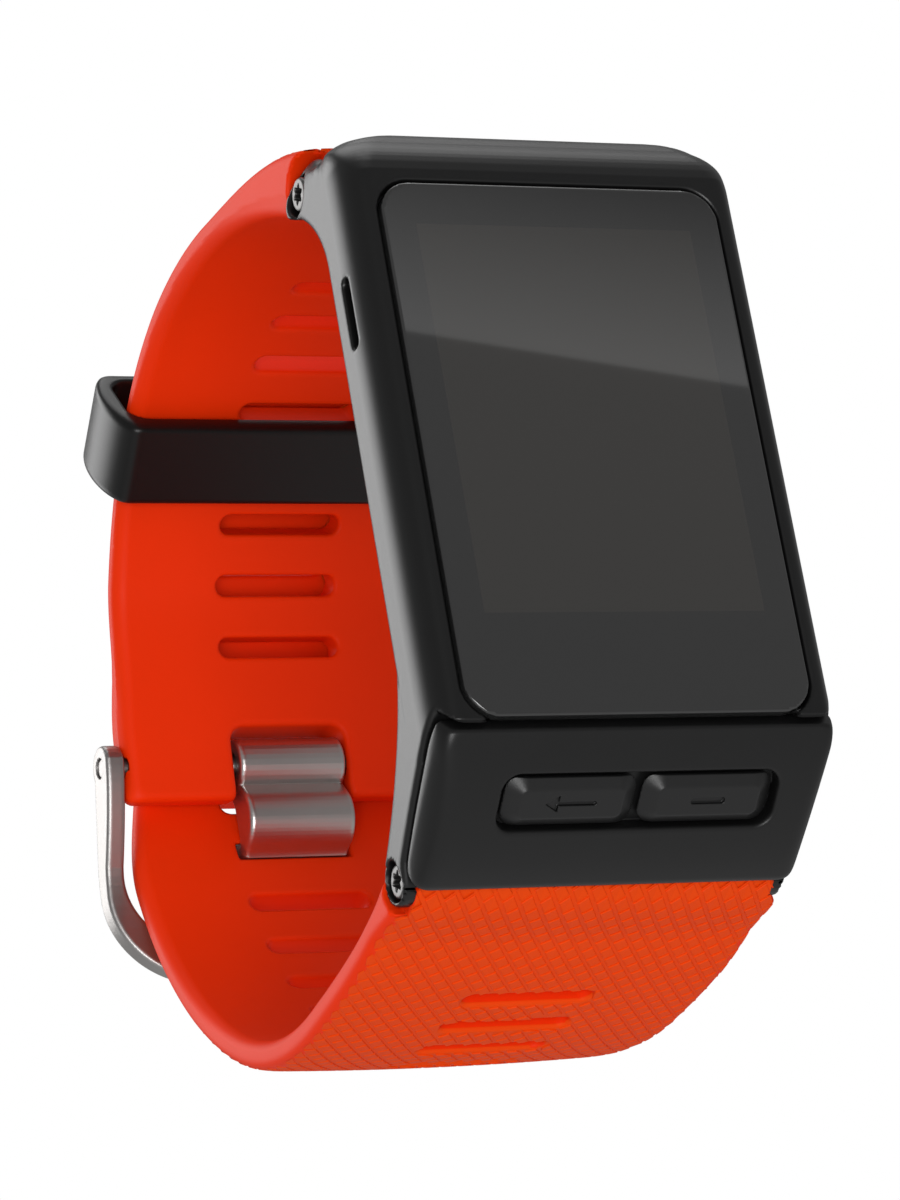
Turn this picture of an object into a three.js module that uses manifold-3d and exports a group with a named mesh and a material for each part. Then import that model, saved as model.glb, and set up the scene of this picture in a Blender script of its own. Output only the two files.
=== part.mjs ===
// GPS running watch: a touch-screen case on a two-piece moulded strap, closed by a pin buckle and a keeper.
//
// Units are millimetres. +X points to 3 o'clock, +Y away from the wearer's eye (through the wrist to the
// back of the strap) and +Z to 12 o'clock. The origin is the centre of the wrist opening.
//
// The case pieces are laid out from the centre of the display on the glass, as depth (behind the glass)
// and height (towards 12 o'clock). The strap is laid out in angles about the wrist: 0 at the back, 90 at
// 12 o'clock.

import * as THREE from 'three';
import { ConvexGeometry } from 'three/addons/geometries/ConvexGeometry.js';
import { mergeVertices } from 'three/addons/utils/BufferGeometryUtils.js';
import Module from 'manifold-3d';

const wasm = await Module();
wasm.setup();

// ---------------------------------------------------------------- driving dimensions

const gap = 0.3; // clearance between pieces that meet on a turned or cut face
const seat = 0.1; // clearance between flat pieces stacked in the case
const past = 40; // reach of a cutter past what it cuts

// Case
const caseWidth = 30.2;
const caseTop = 24.3; // top edge above the display centre
const railDepth = 5.5; // depth of the side rails
const caseThickness = 11.4; // glass to the rear plateau
const cornerRadius = 5.0; // top corners, seen from the front
const frontCornerRadius = 7.5; // the same corners where they reach the front face
const edgeInset = 2.2; // rounding of the front edge, across the case
const edgeDepth = 3.8; // and front to back
const edgeSteps = 5;
const lugTaper = 1.2;
const lugSpan = caseWidth - lugTaper; // width over the lower lugs
const wallThickness = 3.2; // side rail, outside to cavity
const wristRadius = 27.85; // inner face of the upper strap
const faceRise = 5.4; // glass in front of that circle
const faceDistance = wristRadius + faceRise; // glass to the wrist centre
const faceHeight = 2.0; // display centre above the wrist centre

// Glass and display
const glassMargin = 2.4; // case beyond each side of the glass
const glassWidth = caseWidth - 2 * glassMargin;
const glassTop = 17.5;
const glassBottom = -21.6;
const glassRadius = 2.4;
const glassThickness = 1.0;
const displayWidth = 20.7;
const displayHeight = 28.6;
const displayBorder = 0.8;
const displayThickness = 1.3;

// Lugs, strap bars and their screws
const upperBar = { depth: 8.9, height: 20.9 };
const lowerBar = { depth: 12.7, height: -28.4 };
const upperLugRadius = 2.15;
const lowerLugRadius = 1.75;
const lugThickness = 2.5;
const barRadius = 0.8;
const barHoleRadius = 1.05;
const screwHeadRadius = 1.2;
const screwHeadHeight = 0.9;
const screwShankRadius = 0.65;
const counterboreRadius = 1.4;
const counterboreDepth = 1.4;
const headDepth = 0.45; // screw head below the lug face

// Button panel and keys
const panelStart = { depth: 0.4, height: -22.4 };
const panelEnd = { depth: 10.3, height: -30.2 };
const panelCrown = 1.0;
const panelThickness = 1.5; // behind the chord from start to end
const keyLength = 9.7;
const keyWidth = 3.65;
const keyHeight = 0.75;
const keyCorner = 0.9;
const keyRowX = 0.5; // middle of the key row
const keyTravel = 0.4;
const keySplit = 0.35; // gap between the two keys
const keyMargin = 0.3; // gap between the keys and their recess
const keyFromStart = 5.3; // recess centre, along the panel
const stemLength = 5.0;
const stemWidth = 1.4;
const switchSize = 2.4;
const switchHeight = 1.0;

// Rear cover
const coverFlange = 1.4;
const coverWall = 1.2;
const plateauInset = 3.5; // from the case side
const plateauWidth = caseWidth - 2 * plateauInset;
const plateauTop = 14.9;
const plateauBottom = -17.6;
const plateauRadius = 5.5;
const coverScrewInset = 1.0; // screw axis to the cavity wall
const coverScrewX = caseWidth / 2 - wallThickness - coverScrewInset;
const coverScrewTop = 15.0;
const coverScrewBottom = -17.7;
const coverScrewHead = 1.15;
const postRadius = 1.6;
const lensRadius = 5.6;
const lensHeight = -1.0;
const contactPitch = 2.6;
const contactRadius = 0.75;
const contactHeight = -13.6;

// Strap
const lowerDrop = 1.45;
const lowerRadius = wristRadius + lowerDrop; // inner face of the lower strap
const strapThickness = 2.2; // at the edges
const strapCrown = 0.3; // extra thickness at the middle
const layerGap = 0.4; // between the two layers
const strapStep = 0.5; // strap edge inside the case side
const strapNarrowing = 1.2;
const tailNarrowing = 2.8;
const strapHalfWidthLug = caseWidth / 2 - strapStep;
const strapHalfWidth = strapHalfWidthLug - strapNarrowing;
const tailHalfWidth = strapHalfWidth - tailNarrowing;
const slotPitch = 5.0;
const slotLength = 10.0;
const slotWidth = 1.8;
const nearPitch = 4.3; // of the three slots next to the case
const upperSlots = 8;
const tailTip = 61; // degrees

// Buckle and keeper
const pinOffset = 0.25; // pin outside the wrist circle
const pin = { y: wristRadius + pinOffset, z: 0.35 };
const pinRadius = 0.75;
const pinHoleRadius = 1.05;
const armThickness = 1.5;
const armGap = 0.35; // strap edge to buckle arm
const buckleWidth = 2 * (strapHalfWidth + armGap + armThickness);
const armDepth = 1.7;
const crossbarWidth = 2.8;
const crossbarEnd = -16.2;
const buckleCorner = 7.5; // lower corners, outside
const tangWidth = 8.8;
const tangRoll = 2.1;
const tangLobe = { y: 0.2, z: -4.3, radius: 2.55 }; // second roll, from the pin
const hookInner = 6.2; // radii of the tang's hook about the pin
const hookOuter = 7.4;
const keeperAngle = 51.8;
const keeperLength = 6.9;
const keeperSide = 1.5;
const keeperGap = 0.4; // strap edge to keeper
const keeperWidth = 2 * (strapHalfWidth + keeperGap + keeperSide);
const keeperFront = 1.75;
const keeperBack = 1.5;
const keeperBulge = 2.0; // rise of each curved side

// ---------------------------------------------------------------- materials

function finish(color, roughness, metalness) {
  return new THREE.MeshStandardMaterial({ color, roughness, metalness });
}

const satinBlack = finish(0x232323, 0.45, 0.0);
const matteBlack = finish(0x181818, 0.7, 0.0);
const glossBlack = finish(0x0c0c0c, 0.25, 0.0);
const glassDark = finish(0x2c2b29, 0.05, 0.0);
const strapRed = finish(0xdd2a05, 0.5, 0.0);
const satinSteel = finish(0xb4b0ac, 0.35, 1.0);
const screwSteel = finish(0x8e8e8e, 0.4, 1.0);
const gold = finish(0xd9b25a, 0.3, 1.0);
const boardGreen = finish(0x1f4a33, 0.6, 0.0);
const shieldSteel = finish(0xb9bdc0, 0.4, 1.0);
const siliconeGrey = finish(0x4a4a4a, 0.8, 0.0);
const batterySilver = finish(0xa7abb0, 0.5, 0.4);
const ceramic = finish(0xcdc6b4, 0.6, 0.0);
const flexAmber = finish(0xb4732a, 0.5, 0.0);
const lensGlass = finish(0x121416, 0.08, 0.0);
const ledGreen = finish(0xbfe8b0, 0.3, 0.0);

// ---------------------------------------------------------------- solids

function solid(geometry) {
  geometry.deleteAttribute('normal');
  geometry.deleteAttribute('uv');
  const merged = mergeVertices(geometry);
  return new wasm.Manifold(new wasm.Mesh({
    numProp: 3,
    vertProperties: merged.attributes.position.array,
    triVerts: new Uint32Array(merged.index.array),
  }));
}

function geometryOf(body) {
  const mesh = body.getMesh();
  const geometry = new THREE.BufferGeometry();
  geometry.setAttribute('position', new THREE.BufferAttribute(mesh.vertProperties, 3));
  geometry.setIndex(new THREE.BufferAttribute(mesh.triVerts, 1));
  geometry.computeVertexNormals();
  return geometry;
}

function extrude(shape, length, curveSegments) {
  return new THREE.ExtrudeGeometry(shape, { depth: length, bevelEnabled: false, curveSegments });
}

// The outline is drawn as (depth or y, height or z) and swept along X.
function alongX(shape, fromX, toX, curveSegments = 5) {
  const geometry = extrude(shape, toX - fromX, curveSegments);
  const turn = new THREE.Matrix4().set(0, 0, 1, fromX, 1, 0, 0, 0, 0, 1, 0, 0, 0, 0, 0, 1);
  return solid(geometry.applyMatrix4(turn));
}

// The outline is drawn as (x, height or z) and swept along Y, from front to back.
function alongY(shape, front, back, curveSegments = 5) {
  const geometry = extrude(shape, back - front, curveSegments);
  const turn = new THREE.Matrix4().set(1, 0, 0, 0, 0, 0, -1, back, 0, 1, 0, 0, 0, 0, 0, 1);
  return solid(geometry.applyMatrix4(turn));
}

function polygon(points) {
  return new THREE.Shape(points.map(([a, b]) => new THREE.Vector2(a, b)));
}

function roundRect(left, right, bottom, top, radius) {
  const shape = new THREE.Shape();
  shape.moveTo(left + radius, bottom);
  shape.lineTo(right - radius, bottom);
  shape.absarc(right - radius, bottom + radius, radius, -Math.PI / 2, 0);
  shape.lineTo(right, top - radius);
  shape.absarc(right - radius, top - radius, radius, 0, Math.PI / 2);
  shape.lineTo(left + radius, top);
  shape.absarc(left + radius, top - radius, radius, Math.PI / 2, Math.PI);
  shape.lineTo(left, bottom + radius);
  shape.absarc(left + radius, bottom + radius, radius, Math.PI, 1.5 * Math.PI);
  shape.closePath();
  return shape;
}

function circle(x, y, radius) {
  const shape = new THREE.Shape();
  shape.absarc(x, y, radius, 0, 2 * Math.PI);
  return shape;
}

function stadium(length, width) {
  return roundRect(-length / 2, length / 2, -width / 2, width / 2, width / 2 - 0.01);
}

function block(x0, x1, depth0, depth1, height0, height1) {
  const geometry = new THREE.BoxGeometry(x1 - x0, depth1 - depth0, height1 - height0);
  geometry.translate((x0 + x1) / 2, (depth0 + depth1) / 2, (height0 + height1) / 2);
  return solid(geometry);
}

function rodX(centre, radius, fromX, toX, segments = 4) {
  return alongX(circle(centre.y, centre.z, radius), fromX, toX, segments);
}

function rodY(x, z, radius, front, back, segments = 4) {
  return alongY(circle(x, z, radius), front, back, segments);
}

// ---------------------------------------------------------------- the assembly

const watch = new THREE.Group();
watch.name = 'gps_watch';
const caseGroup = new THREE.Group();
caseGroup.position.set(0, -faceDistance, faceHeight);
const strapGroup = new THREE.Group();
watch.add(caseGroup, strapGroup);

function add(group, name, body, material) {
  const mesh = new THREE.Mesh(geometryOf(body), material);
  mesh.name = name;
  group.add(mesh);
  return mesh;
}

function inWrist(bar) {
  return { y: bar.depth - faceDistance, z: bar.height + faceHeight };
}

// ---------------------------------------------------------------- case body

const halfCase = caseWidth / 2;
const lugInner = halfCase - lugThickness;
const cavityX = halfCase - wallThickness;
const cavityTop = coverScrewTop + 1.2;
const coverTop = cavityTop + 0.8;
const cavityBottom = coverScrewBottom - 1.6;
const ledgeDepth = glassThickness + 0.6;
const frontWall = ledgeDepth + 0.8;
const displayHalfX = displayWidth / 2 + displayBorder;
const displayHalfZ = displayHeight / 2 + displayBorder;
const panelBack = panelThickness + gap;

// A line along the button panel's chord, and the direction into the case.
const chord = new THREE.Vector2(panelEnd.depth - panelStart.depth, panelEnd.height - panelStart.height);
const chordLength = chord.length();
const along = chord.clone().normalize();
const inward = new THREE.Vector2(-along.y, along.x);

function onPanel(distance, depth) {
  return [
    panelStart.depth + along.x * distance + inward.x * depth,
    panelStart.height + along.y * distance + inward.y * depth,
  ];
}

// Side outline of the full-width body: front face, rounded top, rails and the slope behind the panel.
function bodyOutline() {
  const shape = new THREE.Shape();
  const lip = (along.x * gap - panelStart.depth) / inward.x;
  shape.moveTo(...onPanel(-gap, lip));
  shape.lineTo(0, caseTop - 4.9);
  shape.quadraticCurveTo(0.4, caseTop - 2.2, 4.0, caseTop - 0.9);
  shape.lineTo(upperBar.depth - upperLugRadius - 0.6, caseTop);
  shape.lineTo(upperBar.depth - upperLugRadius - 2 * gap, coverTop + gap);
  shape.lineTo(railDepth, coverTop + seat);
  shape.lineTo(railDepth, cavityBottom - 0.9);
  const [wallDepth, wallHeight] = onPanel(chordLength - 4.2, panelBack + 1.4);
  shape.lineTo(wallDepth, wallHeight);
  shape.lineTo(...onPanel(chordLength - 3.4, panelBack));
  shape.lineTo(...onPanel(-gap, panelBack));
  shape.closePath();
  return shape;
}

// Half the width over a pair of lugs.
function lugFace(bar) {
  return bar === upperBar ? halfCase : lugSpan / 2;
}

// One lug, drawn round its strap bar and back to the rail.
function upperLug(grow) {
  const { depth, height } = upperBar;
  const radius = upperLugRadius + grow;
  const shape = new THREE.Shape();
  shape.moveTo(railDepth - 2.5, height - 7.4);
  shape.lineTo(railDepth - 0.1, height - 7.4);
  shape.quadraticCurveTo(railDepth + 0.3, height - 4.2, depth - 0.3, height - radius);
  shape.absarc(depth, height, radius, -0.5, 0.2 * Math.PI);
  shape.quadraticCurveTo(depth + 1.2, height + radius + 0.6, railDepth + 1.0, caseTop - 0.15 + grow);
  shape.lineTo(railDepth - 2.5, caseTop - 1.5);
  shape.closePath();
  return shape;
}

function lowerLug(grow) {
  const { depth, height } = lowerBar;
  const radius = lowerLugRadius + grow;
  const shape = new THREE.Shape();
  shape.moveTo(railDepth - 0.4, cavityBottom + 2.8);
  shape.lineTo(...onPanel(3.6, panelBack));
  shape.lineTo(...onPanel(chordLength - 1.4, panelBack - Math.min(grow, 0)));
  shape.absarc(depth, height, radius, 1.18 * Math.PI, 2.35 * Math.PI);
  shape.quadraticCurveTo(depth - 5.4, height + 6.3, railDepth, cavityBottom + 2.8);
  shape.closePath();
  return shape;
}

function lugPair(outline) {
  return alongX(outline, lugInner, halfCase).add(alongX(outline, -halfCase, -lugInner));
}

const strapBlock = lowerLugRadius + 2 * gap; // space that the strap end turns in about its bar

// Block that the case is cut from: its front edge is rounded, its top corners more so towards the front
// face, and its sides draw in towards the lower lugs.
function caseEnvelope() {
  const top = caseTop + 0.2;
  const bottom = lowerBar.height - past / 4;
  const points = [];
  const section = (inset, depth, radius) => {
    const half = halfCase - inset;
    const corners = new THREE.Shape();
    corners.moveTo(half, panelStart.height);
    corners.absarc(half - radius, top - inset - radius, radius, 0, Math.PI / 2);
    corners.absarc(-half + radius, top - inset - radius, radius, Math.PI / 2, Math.PI);
    corners.lineTo(-half, panelStart.height);
    corners.lineTo(-lugSpan / 2 + inset, bottom);
    corners.lineTo(lugSpan / 2 - inset, bottom);
    corners.getPoints(5).forEach(({ x, y }) => points.push(new THREE.Vector3(x, depth, y)));
  };
  for (let i = 0; i <= edgeSteps; i += 1) {
    const turn = (i / edgeSteps) * (Math.PI / 2);
    const radius = THREE.MathUtils.lerp(frontCornerRadius, cornerRadius, i / edgeSteps);
    section(edgeInset * (1 - Math.sin(turn)), edgeDepth * (1 - Math.cos(turn)), radius);
  }
  section(0, 2 * caseThickness, cornerRadius);
  return solid(new ConvexGeometry(points));
}

// The same side rounding continues down the button panel, square to its chord.
function panelEnvelope() {
  const points = [];
  const section = (inset, depth) => {
    const outline = [[halfCase, -past], [halfCase, 0], [lugSpan / 2, chordLength], [lugSpan / 2, past]];
    for (const [half, distance] of outline) {
      const [y, z] = onPanel(distance, depth - panelCrown);
      points.push(new THREE.Vector3(half - inset, y, z), new THREE.Vector3(inset - half, y, z));
    }
  };
  for (let i = 0; i <= edgeSteps; i += 1) {
    const turn = (i / edgeSteps) * (Math.PI / 2);
    section(edgeInset * (1 - Math.sin(turn)), edgeDepth * (1 - Math.cos(turn)));
  }
  section(0, past + edgeDepth);
  return solid(new ConvexGeometry(points));
}

const keyChamberX = keyLength + 1.8;

function caseBody() {
  let body = alongX(bodyOutline(), -halfCase, halfCase, 4);
  body = body.add(alongX(polygon([
    [railDepth - 1, cavityBottom - 0.9],
    [railDepth + 4.0, cavityBottom - 0.9],
    [lowerBar.depth - 1.6, lowerBar.height + 4.6],
    [lowerBar.depth - 2.3, lowerBar.height + 2.2],
    onPanel(chordLength - 3.2, panelBack),
    onPanel(2, panelBack),
  ]), -lugInner + gap, lugInner - gap));
  body = body.add(lugPair(upperLug(0))).add(lugPair(lowerLug(0)));
  body = body.intersect(caseEnvelope()).intersect(panelEnvelope());
  body = body.subtract(alongY(roundRect(
    -glassWidth / 2 - 0.15, glassWidth / 2 + 0.15, glassBottom - 0.15, glassTop + 0.15, glassRadius), -1, ledgeDepth, 4));
  body = body.subtract(alongY(roundRect(
    -displayHalfX - seat, displayHalfX + seat, -displayHalfZ - seat, displayHalfZ + seat, 0.6), 0, 20, 2));
  const cavity = alongY(roundRect(-cavityX, cavityX, cavityBottom, cavityTop, 1.2), frontWall, 20, 2);
  body = body.subtract(cavity);
  for (const x of [-coverScrewX, coverScrewX]) {
    for (const height of [coverScrewTop, coverScrewBottom]) {
      body = body.add(rodY(x, height, postRadius, displayThickness + glassThickness + 2 * seat, railDepth));
      body = body.subtract(rodY(x, height, 0.85, frontWall + 0.8, railDepth + 1));
    }
  }
  body = body.subtract(alongX(polygon([
    onPanel(keyFromStart - 3, panelBack - 1), onPanel(keyFromStart + 3, panelBack - 1),
    onPanel(keyFromStart + 2.7, 4.6), onPanel(keyFromStart - 3, 4.6),
  ]), -keyChamberX, keyChamberX));
  body = body.subtract(block(-3, 3, railDepth - 2.6, railDepth + 0.8, cavityBottom - 3.6, cavityBottom + 0.5));
  for (const side of [-1, 1]) {
    for (const bar of [upperBar, lowerBar]) {
      const centre = { y: bar.depth, z: bar.height };
      const outer = lugFace(bar) - counterboreDepth;
      const [from, to] = side < 0 ? [-20, -outer] : [outer, 20];
      body = body.subtract(rodX(centre, counterboreRadius, from, to, 5));
      body = body.subtract(rodX(centre, barHoleRadius, side < 0 ? -outer - 1 : lugInner - 1,
        side < 0 ? -lugInner + 1 : outer + 1, 4));
    }
  }
  return body.subtract(portSlot());
}

// Slot for the air-pressure port in the left rail, and the pocket for its membrane.
const port = { depth: 3.05, low: 6.3, high: 11.5, width: 1.0 };

function portSlot() {
  const { depth, low, high, width } = port;
  const slot = alongX(roundRect(depth - width / 2, depth + width / 2, low, high, width / 2 - 0.01),
    -halfCase - 1, -cavityX + 1, 3);
  return slot.add(block(-cavityX - 0.8, -cavityX + 1, depth - 0.6, depth + 1.3, low - 0.6, high + 0.6));
}

add(caseGroup, 'case_body', caseBody(), satinBlack);

// ---------------------------------------------------------------- display stack

const glassOutline = roundRect(-glassWidth / 2, glassWidth / 2, glassBottom, glassTop, glassRadius);
add(caseGroup, 'display_glass', alongY(glassOutline, 0, glassThickness, 4), glassDark);

function gasketBody() {
  const inset = 0.4;
  const outer = roundRect(-glassWidth / 2 + inset, glassWidth / 2 - inset,
    glassBottom + inset, glassTop - inset, glassRadius - inset);
  const ring = alongY(outer, glassThickness + seat, ledgeDepth - seat, 3);
  return ring.subtract(alongY(roundRect(-displayHalfX - seat, displayHalfX + seat,
    -displayHalfZ - seat, displayHalfZ + seat, 0.6), 0, 5, 2));
}

add(caseGroup, 'glass_gasket', gasketBody(), siliconeGrey);

const displayFront = glassThickness + seat;
const displayBack = displayFront + displayThickness;
add(caseGroup, 'display_panel', alongY(roundRect(
  -displayHalfX + seat, displayHalfX - seat, -displayHalfZ + seat, displayHalfZ - seat, 0.5),
displayFront, displayBack, 2), matteBlack);

const frameFront = Math.max(displayBack, frontWall) + seat;
const frameBack = frameFront + 0.6;
const frameX = coverScrewX - postRadius - seat;
add(caseGroup, 'mid_frame', block(-frameX, frameX, frameFront, frameBack, cavityBottom + 0.4, cavityTop - 0.4),
  shieldSteel);

const boardFront = frameBack + seat;
const boardBack = boardFront + 0.8;
const boardLow = 1.5;
add(caseGroup, 'main_board', block(-frameX, frameX, boardFront, boardBack, boardLow, cavityTop - 0.6), boardGreen);
add(caseGroup, 'processor_shield', block(-frameX + 2.2, -0.6, boardBack + seat, boardBack + 1.3, boardLow + 1,
  boardLow + 9), shieldSteel);
add(caseGroup, 'radio_shield', block(0.2, frameX - 0.4, boardBack + seat, boardBack + 1.1, boardLow + 0.6,
  boardLow + 5.4), shieldSteel);
add(caseGroup, 'gps_antenna', block(0.4, frameX - 0.5, boardBack + seat, boardBack + 1.6, boardLow + 6,
  boardLow + 13.4), ceramic);
add(caseGroup, 'pressure_sensor', block(-frameX + 0.2, -frameX + 1.9, boardBack + seat, boardBack + 0.9,
  boardLow + 6, boardLow + 8), shieldSteel);
add(caseGroup, 'port_membrane', block(-cavityX - 0.6, -cavityX - 0.3, port.depth - 0.45, port.depth + 1.1,
  port.low - 0.4, port.high + 0.4), siliconeGrey);

const batteryBack = boardFront + 3.6;
add(caseGroup, 'battery', alongY(roundRect(-8.0, 8.0, plateauBottom + coverWall + 0.4, boardLow - 0.6, 2.0),
  boardFront, batteryBack, 2), batterySilver);

// ---------------------------------------------------------------- vibration motor

const motor = { y: 7.9, z: 10.6, radius: 1.5 };
const weightFrom = -2.2;
add(caseGroup, 'vibration_motor', rodX(motor, motor.radius, -8.9, -3.4, 4), shieldSteel);

function vibrationWeight() {
  const half = new THREE.Shape();
  half.absarc(motor.y, motor.z, motor.radius - 0.1, 0, Math.PI);
  half.closePath();
  const shaft = rodX(motor, 0.35, -3.1, -0.5, 3);
  return alongX(half, weightFrom, -0.7, 6).add(shaft);
}

add(caseGroup, 'vibration_weight', vibrationWeight(), screwSteel);

// ---------------------------------------------------------------- rear cover and sensor

const flangeFront = railDepth + gap;
const flangeBack = flangeFront + coverFlange;
const coverInside = caseThickness - coverWall;
const plateauX = plateauWidth / 2;
const coverMouth = plateauRadius - coverWall;
const contactBlockX = 2 * contactPitch;
const contactBlockZ = contactRadius + 0.65;

function rearCover() {
  let cover = alongY(roundRect(-lugInner + gap, lugInner - gap, cavityBottom - 0.1, coverTop, 3.0),
    flangeFront, flangeBack, 3);
  cover = cover.add(alongY(roundRect(-plateauX, plateauX, plateauBottom, plateauTop, plateauRadius),
    flangeFront, caseThickness, 5));
  cover = cover.subtract(alongY(roundRect(-plateauX + coverWall, plateauX - coverWall,
    plateauBottom + coverWall, plateauTop - coverWall, coverMouth), 0, coverInside, 4));
  cover = cover.subtract(rodY(0, lensHeight, lensRadius, coverInside - 1, 20, 8));
  cover = cover.subtract(block(-contactBlockX, contactBlockX, 0, 20,
    contactHeight - contactBlockZ, contactHeight + contactBlockZ));
  for (const x of [-coverScrewX, coverScrewX]) {
    for (const height of [coverScrewTop, coverScrewBottom]) {
      cover = cover.subtract(rodY(x, height, 0.9, 0, 20));
    }
  }
  return cover;
}

add(caseGroup, 'rear_cover', rearCover(), matteBlack);
add(caseGroup, 'sensor_lens', rodY(0, lensHeight, lensRadius - seat, coverInside, caseThickness, 8), lensGlass);

const sensorBoardBack = coverInside - 1.0;
add(caseGroup, 'sensor_board', block(-6.4, 6.4, sensorBoardBack - 0.6, sensorBoardBack, lensHeight - 4.6,
  lensHeight + 4.6), boardGreen);
[-2.9, 2.9].forEach((x, index) => {
  add(caseGroup, `sensor_led_${index + 1}`, block(x - 0.7, x + 0.7, sensorBoardBack + seat,
    coverInside - seat, lensHeight - 0.7, lensHeight + 0.7), ledGreen);
});
add(caseGroup, 'photodiode', block(-1.2, 1.2, sensorBoardBack + seat, coverInside - 2 * seat,
  lensHeight - 1.2, lensHeight + 1.2), lensGlass);

function contactBlock() {
  let body = block(-contactBlockX + seat, contactBlockX - seat, coverInside - 0.6, caseThickness - 0.2,
    contactHeight - contactBlockZ + seat, contactHeight + contactBlockZ - seat);
  for (let i = 0; i < 4; i += 1) {
    body = body.subtract(rodY((i - 1.5) * contactPitch, contactHeight, contactRadius + seat, 0, 20));
  }
  return body;
}

add(caseGroup, 'contact_block', contactBlock(), glossBlack);
for (let i = 0; i < 4; i += 1) {
  add(caseGroup, `charge_contact_${i + 1}`, rodY((i - 1.5) * contactPitch, contactHeight, contactRadius,
    coverInside - 1.2, caseThickness), gold);
}

let coverScrewNumber = 0;
for (const x of [-coverScrewX, coverScrewX]) {
  for (const height of [coverScrewTop, coverScrewBottom]) {
    coverScrewNumber += 1;
    const head = rodY(x, height, coverScrewHead, flangeBack + seat, flangeBack + 0.8, 3);
    const shank = rodY(x, height, 0.55, frontWall + 1.0, flangeBack + 0.3, 2);
    add(caseGroup, `rear_cover_screw_${coverScrewNumber}`, head.add(shank), screwSteel);
  }
}

// ---------------------------------------------------------------- button panel and keys

// Bulge of the panel's outer face above its chord.
function panelOutline(grow) {
  const shape = new THREE.Shape();
  shape.moveTo(...onPanel(-grow, panelThickness + grow));
  shape.lineTo(...onPanel(-grow, -grow));
  const [crownDepth, crownHeight] = onPanel(chordLength / 2, -2 * panelCrown - grow);
  shape.quadraticCurveTo(crownDepth, crownHeight, ...onPanel(chordLength + grow, -grow));
  shape.lineTo(...onPanel(chordLength + grow, panelThickness + grow));
  shape.closePath();
  return shape;
}

// A piece drawn flat as (x, distance along the panel) and raised from one depth to another.
function onPanelFace(shape, depthFrom, depthTo, centreX, distance, curveSegments = 5) {
  const geometry = extrude(shape, depthTo - depthFrom, curveSegments);
  const [depth0, height0] = onPanel(distance, depthFrom);
  const turn = new THREE.Matrix4().set(
    1, 0, 0, centreX,
    0, along.x, inward.x, depth0,
    0, along.y, inward.y, height0,
    0, 0, 0, 1,
  );
  return solid(geometry.applyMatrix4(turn));
}

const recessHalf = keyLength + keySplit / 2 + keyMargin;
const recessWidth = keyWidth + 2 * keyMargin;
const keyCentreX = (keyLength + keySplit) / 2;
const recessFloor = 0.35; // behind the chord
const keyFloor = recessFloor - keyTravel - 0.1; // underside of the key caps
const keys = [['back', -1], ['select', 1]];

function buttonPanel() {
  let panel = alongX(panelOutline(0), -halfCase, halfCase, 8);
  panel = panel.intersect(caseEnvelope()).intersect(panelEnvelope());
  panel = panel.intersect(onPanelFace(roundRect(-halfCase - 2, halfCase + 2, gap / 2, chordLength, 0.1), -4, 4, 0, 0, 2));
  panel = panel.intersect(onPanelFace(roundRect(-lugSpan / 2 - 0.5, lugSpan / 2 + 0.5, -9, chordLength, 2.4),
    -4, 4, 0, 0, 3));
  panel = panel.subtract(onPanelFace(roundRect(-recessHalf, recessHalf, -recessWidth / 2, recessWidth / 2,
    keyCorner + keyMargin), -6, recessFloor, keyRowX, keyFromStart, 4));
  for (const [, side] of keys) {
    panel = panel.subtract(onPanelFace(stadium(stemLength + 2 * gap, stemWidth + 2 * gap), -1, 4,
      keyRowX + side * keyCentreX, keyFromStart, 3));
  }
  for (const x of [-1, 1]) {
    const centre = { y: lowerBar.depth, z: lowerBar.height };
    const [from, to] = x < 0 ? [-halfCase - 1, -lugInner + gap] : [lugInner - gap, halfCase + 1];
    panel = panel.subtract(rodX(centre, lowerLugRadius + gap, from, to, 6));
  }
  return panel.subtract(rodX({ y: lowerBar.depth, z: lowerBar.height }, strapBlock, -lugInner, lugInner, 6));
}

add(caseGroup, 'button_panel', buttonPanel(), satinBlack);

const stemEnd = panelThickness + 0.5;
const switchTop = stemEnd + keyTravel + 0.1;
const switchBottom = switchTop + switchHeight;

for (const [name, side] of keys) {
  const x = keyRowX + side * keyCentreX;
  const cap = onPanelFace(roundRect(-keyLength / 2, keyLength / 2, -keyWidth / 2, keyWidth / 2, keyCorner),
    keyFloor - keyHeight, keyFloor, x, keyFromStart, 3);
  const stem = onPanelFace(stadium(stemLength, stemWidth), keyFloor - 0.4, stemEnd, x, keyFromStart, 2);
  add(caseGroup, `${name}_key`, cap.add(stem), satinBlack);
  const sealRing = onPanelFace(stadium(stemLength + 2.0, stemWidth + 1.4), panelThickness + seat,
    panelThickness + 0.4, x, keyFromStart, 3);
  const sealHole = onPanelFace(stadium(stemLength + 2 * gap, stemWidth + 2 * gap), 0, 5, x, keyFromStart, 3);
  add(caseGroup, `${name}_key_seal`, sealRing.subtract(sealHole), siliconeGrey);
  const half = switchSize / 2;
  add(caseGroup, `${name}_key_switch`, onPanelFace(roundRect(-half, half, -half, half, 0.3), switchTop, switchBottom,
    x, keyFromStart, 2), shieldSteel);
}
add(caseGroup, 'key_board', onPanelFace(roundRect(-keyLength, keyLength, -2.2, 2.2, 0.4), switchBottom + seat,
  switchBottom + 0.7, keyRowX, keyFromStart, 2), boardGreen);

// ---------------------------------------------------------------- strap bars and screws

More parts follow.
